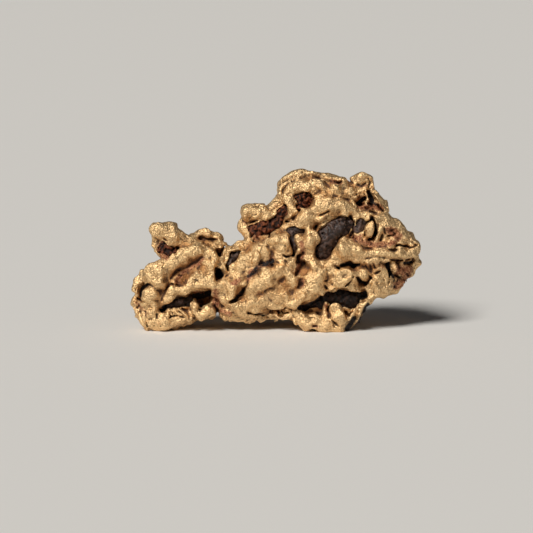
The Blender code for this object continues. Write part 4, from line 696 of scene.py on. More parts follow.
# %% The marks
CREASES = {
    "leaf crack": (0.22, -0.25, [(-11.9, 15.2), (-11.2, 14.9), (-10.4, 14.8), (-9.4, 14.8)]),
    "leaf stalk line": (0.20, -0.15, [(-14.7, 15.7), (-14.1, 15.0), (-13.3, 14.4)]),
    "leaf root crack": (0.22, -0.22, [(-12.0, 13.4), (-11.5, 14.1), (-11.4, 14.7)]),
    "knob pit": (0.26, -0.35, [(-17.8, 14.9), (-17.4, 14.6)]),
    "cup hole": (0.42, -0.80, [(-16.6, 13.4), (-16.2, 13.1), (-15.7, 13.4)]),
    "cup hole foot": (0.36, -0.60, [(-16.2, 13.1), (-15.8, 12.5)]),
    "arm notch": (0.22, -0.30, [(-17.9, 11.2), (-17.6, 11.0), (-17.8, 10.6)]),
    "trough edge": (0.36, -0.35, [(-16.6, 8.6), (-15.7, 9.9), (-14.7, 10.2), (-13.8, 10.6), (-12.6, 11.2),
        (-11.7, 12.0)]),
    "trough speck": (0.26, -0.25, [(-15.4, 9.1), (-15.0, 9.0)]),
    "trough crack": (0.28, -0.30, [(-16.5, 7.7), (-15.8, 7.5)]),
    "rim mark": (0.20, -0.14, [(-21.1, 9.0), (-20.6, 9.8), (-20.2, 9.4)]),
    "crescent tail": (0.26, -0.30, [(-20.0, 7.7), (-19.4, 7.2), (-18.9, 6.7), (-18.2, 6.6)]),
    "block line": (0.20, -0.20, [(-19.5, 5.1), (-18.7, 5.1)]),
    "block crack": (0.30, -0.30, [(-18.1, 5.1), (-17.9, 5.8), (-17.6, 6.2)]),
    "block corner": (0.20, -0.22, [(-17.6, 6.6), (-17.0, 7.4)]),
    "crescent foot": (0.30, -0.35, [(-22.1, 5.4), (-21.4, 5.0), (-20.8, 4.8)]),
    "lobe line": (0.22, -0.22, [(-18.9, 2.2), (-18.9, 3.0)]),
    "lobe crack": (0.28, -0.30, [(-17.0, 2.2), (-16.6, 2.6), (-16.2, 2.7)]),
    "under curl": (0.28, -0.25, [(-16.3, 3.0), (-15.5, 2.6), (-14.7, 2.4)]),
    "behind curl": (0.30, -0.15, [(-14.9, 3.8), (-14.1, 3.2), (-13.6, 2.2)]),
    "foot column": (0.26, -0.30, [(-20.8, 3.4), (-20.5, 2.2), (-20.6, 1.4), (-20.2, 0.6), (-19.4, 0.2)]),
    "foot speck west": (0.22, -0.25, [(-20.2, 2.1), (-19.7, 2.2)]),
    "foot speck low": (0.22, -0.25, [(-18.6, 1.1), (-18.1, 1.0)]),
    "foot speck high": (0.20, -0.22, [(-18.7, 1.8), (-18.4, 1.4)]),
    "column line": (0.20, -0.20, [(-21.8, 4.6), (-21.6, 3.2), (-21.3, 1.9), (-20.6, 0.6)]),
    "heart notch": (0.32, -0.50, [(-11.9, 5.0), (-11.9, 4.1)]),
    "heart line": (0.22, -0.15, [(-13.6, 3.8), (-13.1, 2.9), (-12.3, 2.6)]),
    "heart side": (0.34, -0.60, [(-9.8, 4.3), (-9.4, 3.7), (-9.3, 2.6)]),
    "neck foot": (0.28, -0.30, [(-8.6, 2.9), (-8.2, 2.6), (-7.7, 1.9)]),
    "crest slit": (0.34, -0.60, [(-9.4, 13.1), (-9.0, 12.2), (-8.8, 12.8), (-8.2, 13.6)]),
    "notch spill": (0.30, -0.25, [(-7.7, 10.2), (-7.5, 9.4), (-8.0, 8.8)]),
    "south groove": (0.40, -0.70, [(-7.2, 4.8), (-6.4, 5.3), (-6.1, 5.8), (-5.4, 6.1), (-5.1, 6.9)]),
    "south groove end": (0.24, -0.30, [(-5.1, 6.9), (-4.6, 7.5), (-4.5, 8.2)]),
    "groove end": (0.50, -0.30, [(-0.8, 12.2), (-0.8, 11.2), (-0.6, 10.6)]),
    "knuckle crack": (0.30, -0.50, [(1.1, 12.3), (1.6, 12.0), (2.4, 12.2)]),
    "knuckle side": (0.22, -0.20, [(0.2, 11.2), (0.5, 10.9)]),
    "seam upper": (0.45, -0.80, [(2.4, 14.9), (2.6, 13.9), (2.9, 13.1), (2.7, 12.2)]),
    "seam middle": (0.50, -0.60, [(3.4, 11.2), (3.5, 12.0), (4.2, 12.6)]),
    "seam foot": (0.50, -0.55, [(4.3, 11.0), (3.7, 10.2), (3.2, 9.3)]),
    "knuckle west": (0.35, -0.25, [(-0.9, 15.4), (-1.4, 14.4), (-1.2, 13.2), (-0.4, 12.5)]),
    "seam patch": (0.20, -0.10, [(3.2, 14.2), (3.4, 12.8), (4.5, 12.0), (4.6, 13.4), (4.0, 14.4)]),
    "dimple rim": (0.30, -0.15, [(3.5, 8.5), (4.5, 8.5), (4.8, 7.5), (4.2, 6.9), (3.5, 7.2)]),
    "belly line": (0.55, -0.10, [(-4.4, 5.2), (-2.6, 5.9), (-0.6, 7.0), (1.2, 8.5)]),
    "belly line east": (0.25, -0.12, [(1.3, 8.8), (2.2, 9.6), (3.2, 10.2)]),
    "apron line": (0.22, -0.15, [(-3.8, 5.3), (-2.2, 4.6), (-1.3, 3.8)]),
    "bulge root": (0.30, -0.30, [(1.4, 4.0), (2.2, 3.8), (3.2, 3.5)]),
    "foot root": (0.30, -0.25, [(2.4, 3.4), (2.9, 2.4), (3.5, 1.1)]),
    "lip gap": (0.25, -0.25, [(-2.2, 2.7), (-1.3, 2.4), (-0.2, 2.7), (1.0, 2.6)]),
    "crown rim west": (0.25, -0.22, [(0.5, 23.4), (1.0, 23.8), (1.8, 24.2), (2.6, 24.6), (3.5, 25.0),
        (4.3, 25.4)]),
    "crown rim": (0.30, -0.25, [(1.0, 21.6), (1.1, 22.6), (1.6, 23.4), (2.6, 24.0), (3.7, 24.3),
        (4.5, 24.8), (5.6, 25.0), (6.6, 24.6), (7.5, 24.0), (8.3, 23.2), (9.1, 22.7)]),
    "crown mark": (0.24, -0.25, [(1.8, 21.8), (2.2, 22.2)]),
    "hole crack": (0.30, -0.45, [(3.8, 19.4), (3.5, 18.9), (3.0, 18.4), (2.7, 17.9)]),
    "hole dot": (0.24, -0.35, [(1.6, 17.6), (2.1, 17.6)]),
    "hole notch": (0.30, -0.45, [(3.2, 20.2), (3.5, 19.5)]),
    "face line": (0.22, -0.18, [(5.6, 18.9), (6.4, 18.4), (7.2, 18.6)]),
    "red crack": (0.30, -0.35, [(7.0, 18.6), (7.8, 18.9), (8.3, 19.2)]),
    "slope line": (0.22, -0.16, [(5.4, 21.1), (7.0, 21.4), (8.6, 21.8), (10.2, 21.4), (11.8, 21.0)]),
    "slope fold": (0.30, -0.20, [(8.6, 20.2), (9.9, 21.0), (11.2, 21.1), (12.2, 20.2), (13.0, 19.2)]),
    "slope wrinkle": (0.20, -0.15, [(9.1, 22.4), (10.4, 22.1), (11.2, 21.8)]),
    "slope wrinkle low": (0.20, -0.15, [(11.0, 20.3), (11.8, 19.7), (12.5, 19.0)]),
    "crown pit west": (0.26, -0.35, [(8.6, 24.2), (8.8, 24.0)]),
    "crown pit": (0.32, -0.40, [(9.3, 24.0), (9.9, 23.7), (10.4, 24.0)]),
    "crown nick": (0.24, -0.30, [(11.7, 24.2), (12.2, 23.7)]),
    "knob crease": (0.34, -0.45, [(13.0, 23.5), (13.6, 23.2), (14.2, 23.7)]),
    "knob slit": (0.24, -0.25, [(14.6, 24.6), (14.9, 23.8), (14.7, 23.0)]),
    "brow pit": (0.30, -0.30, [(12.2, 21.8), (12.8, 21.9)]),
    "sponge low pit": (0.45, -0.80, [(13.0, 20.5), (13.3, 20.3)]),
    "sponge middle pit": (0.40, -0.80, [(13.6, 21.1), (14.1, 21.4)]),
    "sponge high pit": (0.42, -0.80, [(14.6, 22.4), (15.0, 21.8), (15.4, 21.1)]),
    "sponge floor pit": (0.35, -0.60, [(14.7, 20.5), (15.2, 20.3)]),
    "sponge slit": (0.30, -0.50, [(14.9, 19.2), (15.7, 19.0)]),
    "sponge bead": (0.30, -0.45, [(16.1, 20.6), (16.3, 19.9), (17.0, 19.3)]),
    "sponge edge": (0.25, -0.30, [(13.4, 22.2), (13.1, 21.4), (13.6, 20.2)]),
    "finger top": (0.30, -0.40, [(14.2, 17.4), (14.8, 17.7), (15.2, 18.2)]),
    "finger slit": (0.30, -0.50, [(15.0, 18.4), (15.5, 17.6), (15.8, 16.6), (15.8, 15.7), (15.2, 14.9),
        (14.6, 14.7)]),
    "wall slit": (0.34, -0.60, [(16.8, 15.4), (16.5, 14.6)]),
    "wall nick": (0.26, -0.35, [(17.1, 16.5), (17.3, 15.7)]),
    "stones crease": (0.30, -0.50, [(11.8, 18.4), (12.0, 17.3), (12.3, 16.2), (11.8, 15.4)]),
    "stone fringe": (0.28, -0.35, [(14.1, 16.0), (13.9, 15.0), (13.6, 14.6)]),
    "crater middle": (0.30, -0.12, [(18.2, 16.3), (18.9, 15.4)]),
    "crater west": (0.25, -0.12, [(17.8, 15.8), (17.9, 14.9)]),
    "crater east": (0.25, -0.12, [(19.0, 16.5), (19.5, 15.7)]),
    "mouth": (0.24, -0.35, [(19.0, 13.75), (19.6, 13.95), (20.1, 13.7), (20.8, 13.75), (21.1, 13.5),
        (21.8, 13.5), (22.4, 13.9)]),
    "mouth corner": (0.25, -0.30, [(21.6, 14.4), (22.1, 13.9)]),
    "shelf line": (0.22, -0.15, [(12.2, 15.0), (13.1, 13.9), (14.2, 13.3), (16.6, 13.1), (19.0, 13.1)]),
    "under shelf": (0.34, -0.30, [(14.2, 11.7), (15.8, 12.0), (17.9, 11.7), (19.8, 11.5), (21.8, 11.7)]),
    "shelf hollow west": (0.30, -0.50, [(9.3, 10.6), (9.9, 10.2)]),
    "cheek line west": (0.25, -0.30, [(13.9, 11.2), (14.4, 10.2), (15.0, 9.6)]),
    "cheek line middle": (0.25, -0.30, [(15.2, 11.2), (15.7, 10.2)]),
    "cheek line east": (0.30, -0.18, [(16.0, 10.2), (16.5, 11.2), (17.3, 10.7)]),
    "cheek dark": (0.40, -0.70, [(13.0, 8.5), (13.4, 8.0), (14.1, 7.8)]),
    "cheek nick": (0.25, -0.40, [(12.2, 8.8), (13.0, 8.8)]),
    "cheek fold": (0.25, -0.30, [(14.7, 9.0), (15.5, 8.3), (14.9, 7.5)]),
    "east gap": (0.36, -0.30, [(17.9, 9.6), (18.6, 9.0), (19.4, 9.2)]),
    "column gap": (0.32, -0.30, [(14.8, 10.7), (15.2, 9.3), (16.0, 7.9)]),
    "column gap east": (0.28, -0.28, [(17.5, 10.9), (18.0, 9.5), (17.9, 7.7)]),
    "column pit": (0.35, -0.35, [(15.6, 9.3), (16.3, 9.7)]),
    "dimple": (0.75, -0.30, [(3.9, 8.2), (4.2, 7.6)]),
    "point pit": (0.40, -0.60, [(20.5, 11.0), (21.1, 10.9), (21.8, 11.4)]),
    "point fray west": (0.30, -0.40, [(19.0, 9.1), (19.8, 8.6)]),
    "point fray east": (0.30, -0.35, [(20.5, 9.6), (21.1, 9.0)]),
    "point fray high": (0.30, -0.35, [(19.5, 10.2), (20.2, 9.9)]),
    "egg side": (0.24, -0.25, [(8.8, 7.7), (9.3, 7.0)]),
    "bead pit": (0.30, -0.50, [(7.7, 7.4), (8.0, 7.0)]),
    "bead nick": (0.25, -0.35, [(7.7, 8.2), (8.0, 8.2)]),
    "egg crease": (0.25, -0.30, [(10.9, 7.4), (11.8, 8.2), (12.2, 9.0)]),
    "tooth line": (0.20, -0.15, [(12.3, 7.7), (12.8, 6.7)]),
    "foot neck line": (0.25, -0.25, [(8.2, 4.6), (8.2, 3.5), (8.5, 2.6)]),
    "foot neck pit": (0.24, -0.30, [(8.2, 2.7), (8.3, 2.4)]),
    "foot pit": (0.36, -0.40, [(5.9, 1.1), (6.4, 1.1)]),
    "foot line": (0.20, -0.18, [(8.6, 2.2), (9.3, 1.6), (9.9, 1.0)]),
    "finger line": (0.25, -0.20, [(-5.3, 17.8), (-4.6, 17.3), (-3.8, 17.6), (-2.9, 17.8)]),
    "finger ring": (0.22, -0.18, [(-4.2, 18.1), (-3.7, 18.6), (-3.0, 18.7)]),
    "shoulder line": (0.25, -0.22, [(-0.6, 19.5), (0.0, 19.8), (0.8, 20.3)]),
}
RIDGES = {
    "curl": (0.24, 0.30, [(-16.0, 3.8), (-15.0, 3.5), (-14.2, 2.7), (-13.8, 1.9)]),
    "slit lip": (0.30, 0.20, [(-8.0, 13.4), (-8.5, 12.0), (-8.5, 10.9), (-8.0, 9.9)]),
    "sponge bar west": (0.20, 0.28, [(14.2, 22.6), (14.4, 21.4), (14.7, 20.6)]),
    "sponge bar east": (0.20, 0.22, [(15.5, 22.2), (16.2, 21.1), (16.6, 20.2)]),
    "sponge bar low": (0.20, 0.22, [(13.3, 19.8), (14.4, 20.2), (15.5, 19.7)]),
    "knob curl": (0.20, 0.30, [(15.2, 24.6), (15.4, 23.8), (15.5, 23.0)]),
    "mouth lip": (0.30, 0.12, [(19.5, 14.2), (20.6, 14.2), (21.6, 14.7)]),
}

# %% Press the marks in
SHEET_CELL = 0.06          # mm
SHEET_LOW = np.array((-24.5, -2.0))
SHEET_SIZE = (820, 500)
FRONT_EDGE = 1.5           # mm of y in the drawing, behind which no mark of the face goes
EDGE_FADE = 2.0            # mm of y before that, over which the marks fade


def press_route(sheet, width, height, route):
    """Adds a rounded groove or ridge along a route to the sheet."""
    route = np.array(route, float)
    cells = [SHEET_LOW[i] + SHEET_CELL * np.arange(SHEET_SIZE[i]) for i in range(2)]
    spans = []
    for i in range(2):
        edges = np.array((route[:, i].min() - width, route[:, i].max() + width))
        numbers = ((edges - SHEET_LOW[i]) / SHEET_CELL).astype(int) + (0, 2)
        spans.append(slice(*np.clip(numbers, 0, SHEET_SIZE[i])))
    x, z = np.meshgrid(cells[0][spans[0]], cells[1][spans[1]], indexing="ij")
    nearest = np.full(x.shape, FAR)
    for (x0, z0), (x1, z1) in zip(route, route[1:]):
        way = np.array((x1 - x0, z1 - z0))
        along = np.clip(((x - x0) * way[0] + (z - z0) * way[1]) / max(way @ way, TINY), 0, 1)
        nearest = np.minimum(nearest, np.hypot(x - x0 - along * way[0], z - z0 - along * way[1]))
    sheet[spans[0], spans[1]] += height * np.clip(1 - (nearest / width) ** 2, 0, 1) ** 2


def in_drawing(x, y, z):
    """Places in the frame, as places in the face-on drawing."""
    y, z = y - DRAWING_ORIGIN.y, z - DRAWING_ORIGIN.z
    back, up = math.cos(LEAN_BACK), math.sin(LEAN_BACK)
    return x - DRAWING_ORIGIN.x, y * back - z * up, y * up + z * back


def sheet_at(sheet, x, z):
    """The sheet's number at places, between its cells too."""
    u = np.clip((x - SHEET_LOW[0]) / SHEET_CELL, 0, SHEET_SIZE[0] - LAST_CELL)
    v = np.clip((z - SHEET_LOW[1]) / SHEET_CELL, 0, SHEET_SIZE[1] - LAST_CELL)
    i, j = u.astype(int), v.astype(int)
    u, v = u - i, v - j
    return ((sheet[i, j] * (1 - u) + sheet[i + 1, j] * u) * (1 - v)
            + (sheet[i, j + 1] * (1 - u) + sheet[i + 1, j + 1] * u) * v)


def smooth_step(value, low, high):
    """0 below low, 1 above high, and a smooth rise between."""
    t = np.clip((value - low) / (high - low), 0, 1)
    return t * t * (3 - 2 * t)


marks = np.zeros(SHEET_SIZE)
for width, height, route in (*CREASES.values(), *RIDGES.values()):
    press_route(marks, width, height, route)

skin = np.nonzero(np.abs(gold) < SKIN)
skin_places = [axes[i][skin[i]] for i in range(3)]
drawn = in_drawing(*skin_places)
front = 1 - smooth_step(drawn[1], FRONT_EDGE - EDGE_FADE, FRONT_EDGE)
gold[skin] -= sheet_at(marks, drawn[0], drawn[2]) * front
print("pressed", len(CREASES), "creases and", len(RIDGES), "ridges into", len(skin[0]), "cells")

# %% [markdown]
# ## Hammered skin
#
# A river rolls a nugget for years, so even its smooth folds are covered in soft dents and fine wrinkles.
# Random lumps of three sizes do the dents. Where the gold is crumbled, inside a few balls of the drawing,
# it gets small sharp crumbs too, and the back gets broad lumps. A wrinkle is the line where a slow random
# number changes its sign, which wanders and branches as real creases do.

# %% Dents and wrinkles
CRUMBLY = (                # balls in the drawing where the gold is crumbled, (x, y, z, radius)
    (20.2, -2.0, 9.8, 2.8), (18.8, -2.0, 8.0, 2.0), (14.6, -2.4, 21.2, 2.2), (17.0, -2.0, 19.2, 1.2),
    (-21.4, -2.0, 3.4, 1.8), (-19.6, -2.2, 1.4, 1.6), (-16.6, -2.4, 3.2, 1.6), (18.6, -3.4, 15.6, 1.4),
    (14.6, -3.6, 14.4, 1.6), (12.6, -3.4, 15.2, 1.2), (-3.4, -2.6, 15.2, 1.4), (0.4, -1.8, 2.6, 2.0),
    (-3.4, -1.8, 2.6, 2.0), (12.8, -3.0, 3.4, 1.6), (3.4, -4.0, 13.2, 1.2),
)
CRUMBLY_CORE = 0.6         # of a ball's radius, where it is crumbled in full
CRUMBLY_EDGE = 1.1         # of a ball's radius, where that ends
CRUMBS = ((1.0, 0.11, 51), (0.55, 0.08, 52))      # size in mm, height in mm, seed
LUMPS = ((2.6, 0.060, 11), (1.25, 0.016, 12), (0.66, 0.010, 13))      # the same three numbers
BACK_LUMPS = ((4.4, 0.32, 61), (2.4, 0.09, 62))
BACK_SINK = 0.34           # mm, to keep the lumps of the back inside the box
WRINKLE_SIZE = 2.6         # mm between wrinkles
WRINKLE_WIDTH = 0.16       # share of the noise's spread that counts as on the line
WRINKLE_DEPTH = 0.10       # mm
WRINKLE_PATCH = 5.0        # mm between the places that have wrinkles
PATCH_FROM, PATCH_FULL = -0.4, 0.8      # of the noise's spread, where wrinkles begin and are in full
WRINKLE_SEED, PATCH_SEED = 21, 22
FLOOR_BLEND = 0.05         # mm

for size, height, seed in LUMPS:
    gold[skin] += height * noise(size, seed)[skin]
for size, height, seed in BACK_LUMPS:
    gold[skin] += height * (behind * noise(size, seed))[skin]
gold[skin] += BACK_SINK * behind[skin]
crumbled = np.zeros(len(skin[0]))
for x, y, z, radius in CRUMBLY:
    gap = np.sqrt((drawn[0] - x) ** 2 + (drawn[1] - y) ** 2 + (drawn[2] - z) ** 2)
    crumbled = np.maximum(crumbled, 1 - smooth_step(gap, radius * CRUMBLY_CORE, radius * CRUMBLY_EDGE))
for size, height, seed in CRUMBS:
    gold[skin] += height * crumbled * noise(size, seed)[skin]
line = np.clip(1 - np.abs(noise(WRINKLE_SIZE, WRINKLE_SEED)[skin]) / WRINKLE_WIDTH, 0, 1)
patch = smooth_step(noise(WRINKLE_PATCH, PATCH_SEED)[skin], PATCH_FROM, PATCH_FULL)
gold[skin] += WRINKLE_DEPTH * line * patch
gold = soft_max(gold, np.broadcast_to(-axes[2], block_shape), FLOOR_BLEND)
print("skin roughened, floor cut flat")

# %% [markdown]
# ## From numbers to a mesh
#
# OpenVDB walks through the block and puts a face wherever the number changes sign. Bits that hang loose in
# the air or in a closed bubble are dropped, so one closed skin is left. Decimate then takes faces from the
# flatter places, and leaves them where the folds turn.

# %% Mesh maker
def surface(field):
    """The points, in mm, and the four-sided faces of the surface where a field is zero."""
    grid = vdb.FloatGrid(background=FAR)
    grid.copyFromArray(np.ascontiguousarray(field, np.float32))
    points, quads = grid.convertToQuads(isovalue=0.0)
    points = points * CELL + block_low
    a, b, c, d = (points[quads[:, i]] for i in range(4))
    volume = np.einsum("ij,ij->i", a, np.cross(b, c) + np.cross(c, d)).sum() / 6
    return points, quads if volume > 0 else quads[:, ::-1]


def biggest_piece(points, faces):
    """Drops every face that isn't on the piece with the most points."""
    label = np.arange(len(points))
    while True:
        lowest = label[faces].min(axis=1)
        before = label.copy()
        for corner in range(faces.shape[1]):
            np.minimum.at(label, faces[:, corner], lowest)
        label = label[label]
        if (label == before).all():
            break
    names, sizes = np.unique(label, return_counts=True)
    kept = label == names[sizes.argmax()]
    number = np.cumsum(kept) - 1
    return points[kept], number[faces[kept[faces[:, 0]]]]


def make_piece(name, field, triangles):
    """A field's surface as a mesh object of at most so many triangles, in metres, at the origin."""
    points, faces = biggest_piece(*surface(field))
    mesh = bpy.data.meshes.new(name)
    mesh.from_pydata((points * METRES).tolist(), [], faces.tolist())
    piece = bpy.data.objects.new(name, mesh)
    bpy.context.scene.collection.objects.link(piece)
    if 2 * len(faces) > triangles:
        thin = piece.modifiers.new("fewer faces", "DECIMATE")
        thin.ratio = triangles / (2 * len(faces))
        thin.use_collapse_triangulate = True
        graph = bpy.context.evaluated_depsgraph_get()
        mesh = bpy.data.meshes.new_from_object(piece.evaluated_get(graph))
        piece.modifiers.clear()
        piece.data = mesh
        mesh.name = name
    mesh.shade_smooth()
    mesh.calc_loop_triangles()
    print(name, 2 * len(faces), "triangles, kept", len(mesh.loop_triangles))
    return piece


GOLD_TRIANGLES = 190000
nugget = make_piece("nugget_skin", gold, GOLD_TRIANGLES)

# %% [markdown]
# ## Where dirt, rust and painted shade gather
#
# Stain stays where nothing rubs it off, and the material also paints shade into the same low places. How
# deep a spot lies is measured in the block: the share of gold in a ball round the spot is a half on a flat
# face, less on a ridge and more in a pit. A small ball finds the creases and a big one the hollows. Both
# numbers are stored on the points of the mesh, for the material.

# %% Depth numbers
CREASE_BALL = 0.32         # mm
HOLLOW_BALL = 1.1          # mm

filled = (gold < 0).astype(np.float32)
for field in stone_fields.values():
    filled = np.maximum(filled, field < 0)


def field_at(field, piece):
    """A field's number at each point of a piece."""
    points = np.empty(len(piece.data.vertices) * 3, np.float32)
    piece.data.vertices.foreach_get("co", points)
    return read(field, (points.reshape(-1, 3) / METRES - block_low) / CELL)


def store(piece, name, numbers):
    layer = piece.data.attributes.new(name, "FLOAT", "POINT")
    layer.data.foreach_set("value", np.asarray(numbers, np.float32))


# %% [markdown]
# ## Patches of rust and crust
#
# Some hollows hold more than their depth explains: red iron oxide, or a nearly black crust. The nearly
# black patches also paint shadow over deep holes and undersides that lie in shade. Their places are routes
# on the face-on drawing again, each with a width and a strength, and they are put on sheets in the same
# way as the creases. The back has no drawing, so its rust lies where a random number is high.

# %% The patches
RUST = {
    "cup": (0.90, 0.80, [(-18.6, 13.6), (-18.1, 12.3), (-17.3, 11.8)]),
    "trough": (0.80, 0.85, [(-15.8, 8.0), (-15.0, 9.3), (-13.9, 10.2), (-12.5, 11.0), (-11.7, 11.7)]),
    "neck": (0.95, 0.95, [(-9.6, 6.6), (-9.4, 5.3), (-9.6, 4.3)]),
    "neck foot": (0.90, 0.75, [(-8.6, 3.5), (-7.4, 3.0)]),
    "slot roof": (0.45, 0.90, [(-12.8, 6.4), (-11.5, 6.4)]),
    "foot column": (0.90, 0.50, [(-22.2, 4.6), (-21.3, 3.8), (-20.5, 2.9)]),
    "foot lobe": (0.60, 0.35, [(-18.6, 1.6), (-17.6, 2.2)]),
    "leaf": (0.30, 0.30, [(-12.8, 15.0), (-11.7, 14.7)]),
    "red notch": (0.60, 1.10, [(-6.9, 7.8), (-5.8, 8.3)]),
    "groove": (0.75, 1.00, [(-4.4, 8.4), (-3.9, 9.6), (-2.6, 10.6), (-1.2, 10.9), (-0.5, 11.8)]),
    "seam": (0.70, 1.00, [(4.0, 14.1), (4.3, 12.6), (3.7, 11.2), (3.4, 9.6)]),
    "dimple": (0.75, 0.90, [(4.0, 8.2), (4.2, 7.5)]),
    "belly": (0.90, 0.40, [(-2.9, 6.1), (-1.3, 5.8), (0.0, 4.8)]),
    "finger pocket": (0.80, 0.90, [(-3.8, 16.6), (-3.2, 15.0), (-2.2, 17.0)]),
    "finger root": (0.45, 0.70, [(-5.1, 17.6), (-4.5, 17.3)]),
    "shoulder": (0.50, 0.50, [(-0.2, 20.3), (1.1, 19.2), (1.8, 18.6)]),
    "crown pits": (0.60, 1.00, [(8.8, 24.0), (10.2, 23.7)]),
    "crown east": (0.70, 0.40, [(10.9, 23.4), (11.4, 24.0)]),
    "red crack": (0.40, 0.60, [(7.4, 18.6), (8.0, 17.9)]),
    "knob root": (0.40, 0.70, [(13.1, 23.2), (14.4, 23.4)]),
    "sponge": (0.95, 1.10, [(13.4, 20.2), (14.4, 19.8), (15.6, 20.0), (16.5, 19.8)]),
    "east floor": (0.90, 0.85, [(12.5, 15.0), (13.8, 14.2), (15.4, 13.9), (17.0, 13.9), (18.6, 14.2)]),
    "crater": (1.20, 1.00, [(17.9, 16.2), (18.9, 15.7), (19.3, 15.2)]),
    "east stones": (0.60, 0.80, [(13.4, 15.4), (12.4, 14.6)]),
    "east cheek": (0.60, 0.40, [(13.8, 10.6), (16.0, 10.9), (17.0, 10.2)]),
    "point": (1.40, 1.00, [(19.8, 9.8), (21.0, 10.0), (20.4, 8.3), (19.2, 7.4)]),
    "foot neck": (0.50, 0.80, [(7.8, 4.5), (8.2, 3.2)]),
    "foot pit": (0.40, 0.90, [(5.9, 1.1), (6.4, 1.0)]),
}
# The nearly black patches are crust in some cracks, and painted shadow over deep holes and shaded
# undersides.
CRUST_AND_SHADOW = {
    "west hole": (1.10, 1.50, [(-9.1, 9.4), (-8.9, 9.1)]),
    "slot": (0.95, 1.30, [(-17.6, 4.0), (-16.2, 4.5), (-14.6, 4.6), (-13.1, 5.6), (-12.2, 5.8),
        (-10.9, 6.2)]),
    "crescent": (0.50, 1.30, [(-21.6, 5.8), (-21.3, 7.0), (-20.3, 7.7)]),
    "cup hole": (0.45, 1.00, [(-16.5, 13.3), (-15.8, 13.0)]),
    "leaf crack": (0.25, 0.80, [(-11.7, 15.2), (-9.8, 14.9)]),
    "heart side": (0.35, 0.80, [(-9.4, 3.7), (-9.3, 2.6)]),
    "south groove": (0.45, 1.20, [(-6.9, 5.0), (-6.1, 5.6), (-5.3, 6.6)]),
    "centre groove": (0.75, 1.30, [(-4.3, 9.0), (-3.2, 10.2), (-1.6, 10.9), (-0.6, 11.4)]),
    "undercut": (0.70, 1.10, [(-4.2, 2.5), (-2.2, 2.6), (-0.2, 2.6), (2.0, 2.7)]),
    "seam dark": (0.60, 1.00, [(1.4, 16.3), (3.2, 16.0), (4.3, 16.2)]),
    "seam upper": (0.40, 0.90, [(3.2, 17.0), (2.7, 14.4), (2.7, 12.5)]),
    "knuckle crack": (0.25, 0.80, [(1.3, 12.2), (2.2, 12.0)]),
    "sponge pits": (0.60, 1.30, [(13.1, 20.5), (13.9, 21.3), (15.0, 22.0), (15.3, 20.8), (16.2, 20.3)]),
    "finger slit": (0.40, 0.90, [(15.2, 18.2), (15.8, 17.0), (15.8, 15.7), (14.9, 14.9)]),
    "knob root": (0.30, 0.80, [(13.1, 23.4), (14.2, 23.5)]),
    "shelf hollow": (0.65, 1.00, [(10.2, 10.7), (11.2, 11.0), (12.2, 10.6), (13.0, 10.8)]),
    "cheek dark": (0.40, 0.90, [(13.0, 8.5), (14.1, 7.8)]),
    "east gap": (0.70, 1.20, [(17.6, 11.1), (17.8, 9.9), (18.5, 8.6), (18.4, 7.2)]),
    "point pit": (0.45, 0.90, [(20.3, 11.0), (21.6, 11.2)]),
    "point low": (1.40, 1.20, [(21.6, 9.8), (20.2, 8.4), (18.8, 6.9)]),
    "lower pocket": (0.80, 1.10, [(3.5, 3.8), (5.4, 4.3), (7.4, 5.8)]),
    "strand hollow": (0.80, 2.20, [(11.4, 4.2), (12.8, 5.2), (14.0, 6.0)]),
    "strand back": (0.80, 2.20, [(14.6, 4.4), (13.9, 3.0), (13.2, 1.6)]),
    "foot east": (1.00, 2.20, [(12.3, 2.2), (11.9, 1.4), (11.3, 0.6)]),
    "mouth": (0.25, 0.70, [(19.2, 13.8), (20.5, 13.8), (21.8, 13.6)]),
}

# %% Put the patches on the skin
BACK_RUST = 0.7            # strength
BACK_RUST_SIZE = 4.0       # mm between patches
BACK_RUST_SEED = 63
RUST_FROM, RUST_FULL = 0.4, 1.4         # of the noise's spread, where rust begins and is in full
STAIN_DEPTH = 3.0          # mm of y in the drawing, behind which no drawn patch goes
STAIN_FADE = 2.0           # mm of y before that, over which the patches fade


def patch_sheet(patches):
    """A sheet that holds, at each place, the strongest of the patches there."""
    sheet = np.zeros(SHEET_SIZE)
    for width, strength, route in patches.values():
        one = np.zeros(SHEET_SIZE)
        press_route(one, width, strength, route)
        sheet = np.maximum(sheet, one)
    return sheet


def drawn_on(sheet, piece):
    """A sheet's number at each point of a piece, for points in front of the stain's depth."""
    points = np.empty(len(piece.data.vertices) * 3, np.float32)
    piece.data.vertices.foreach_get("co", points)
    x, y, z = in_drawing(*(points.reshape(-1, 3) / METRES).T)
    return sheet_at(sheet, x, z) * (1 - smooth_step(y, STAIN_DEPTH - STAIN_FADE, STAIN_DEPTH))


back_noise = field_at(behind * noise(BACK_RUST_SIZE, BACK_RUST_SEED), nugget)
back_rust = BACK_RUST * smooth_step(back_noise, RUST_FROM, RUST_FULL)
store(nugget, "rust", np.maximum(drawn_on(patch_sheet(RUST), nugget), back_rust))
# The nearly black sheet stored next is crust and painted shadow.
store(nugget, "crust_and_shadow", drawn_on(patch_sheet(CRUST_AND_SHADOW), nugget))
store(nugget, "crease", field_at(blur(filled, CREASE_BALL), nugget))
store(nugget, "hollow", field_at(blur(filled, HOLLOW_BALL), nugget))
for name in ("crease", "hollow"):
    values = np.array([v.value for v in nugget.data.attributes[name].data])
    print(name, "5, 50 and 95 percent:", np.percentile(values, (5, 50, 95)).round(3))

# %% [markdown]
# ## Stones of ironstone
#
# The dark pieces are grains of iron-rich rock that the gold grew round. They are harder than the gold, with
# dull broken faces. Each starts from its own chain of balls, now bent with the gold, and is given flat
# chips, clods and a fine grit. It also grows a hair into the wall of its pocket, so that gold and stone
# touch as they do in the real thing. Three of the stones crumble, and get coarser relief.

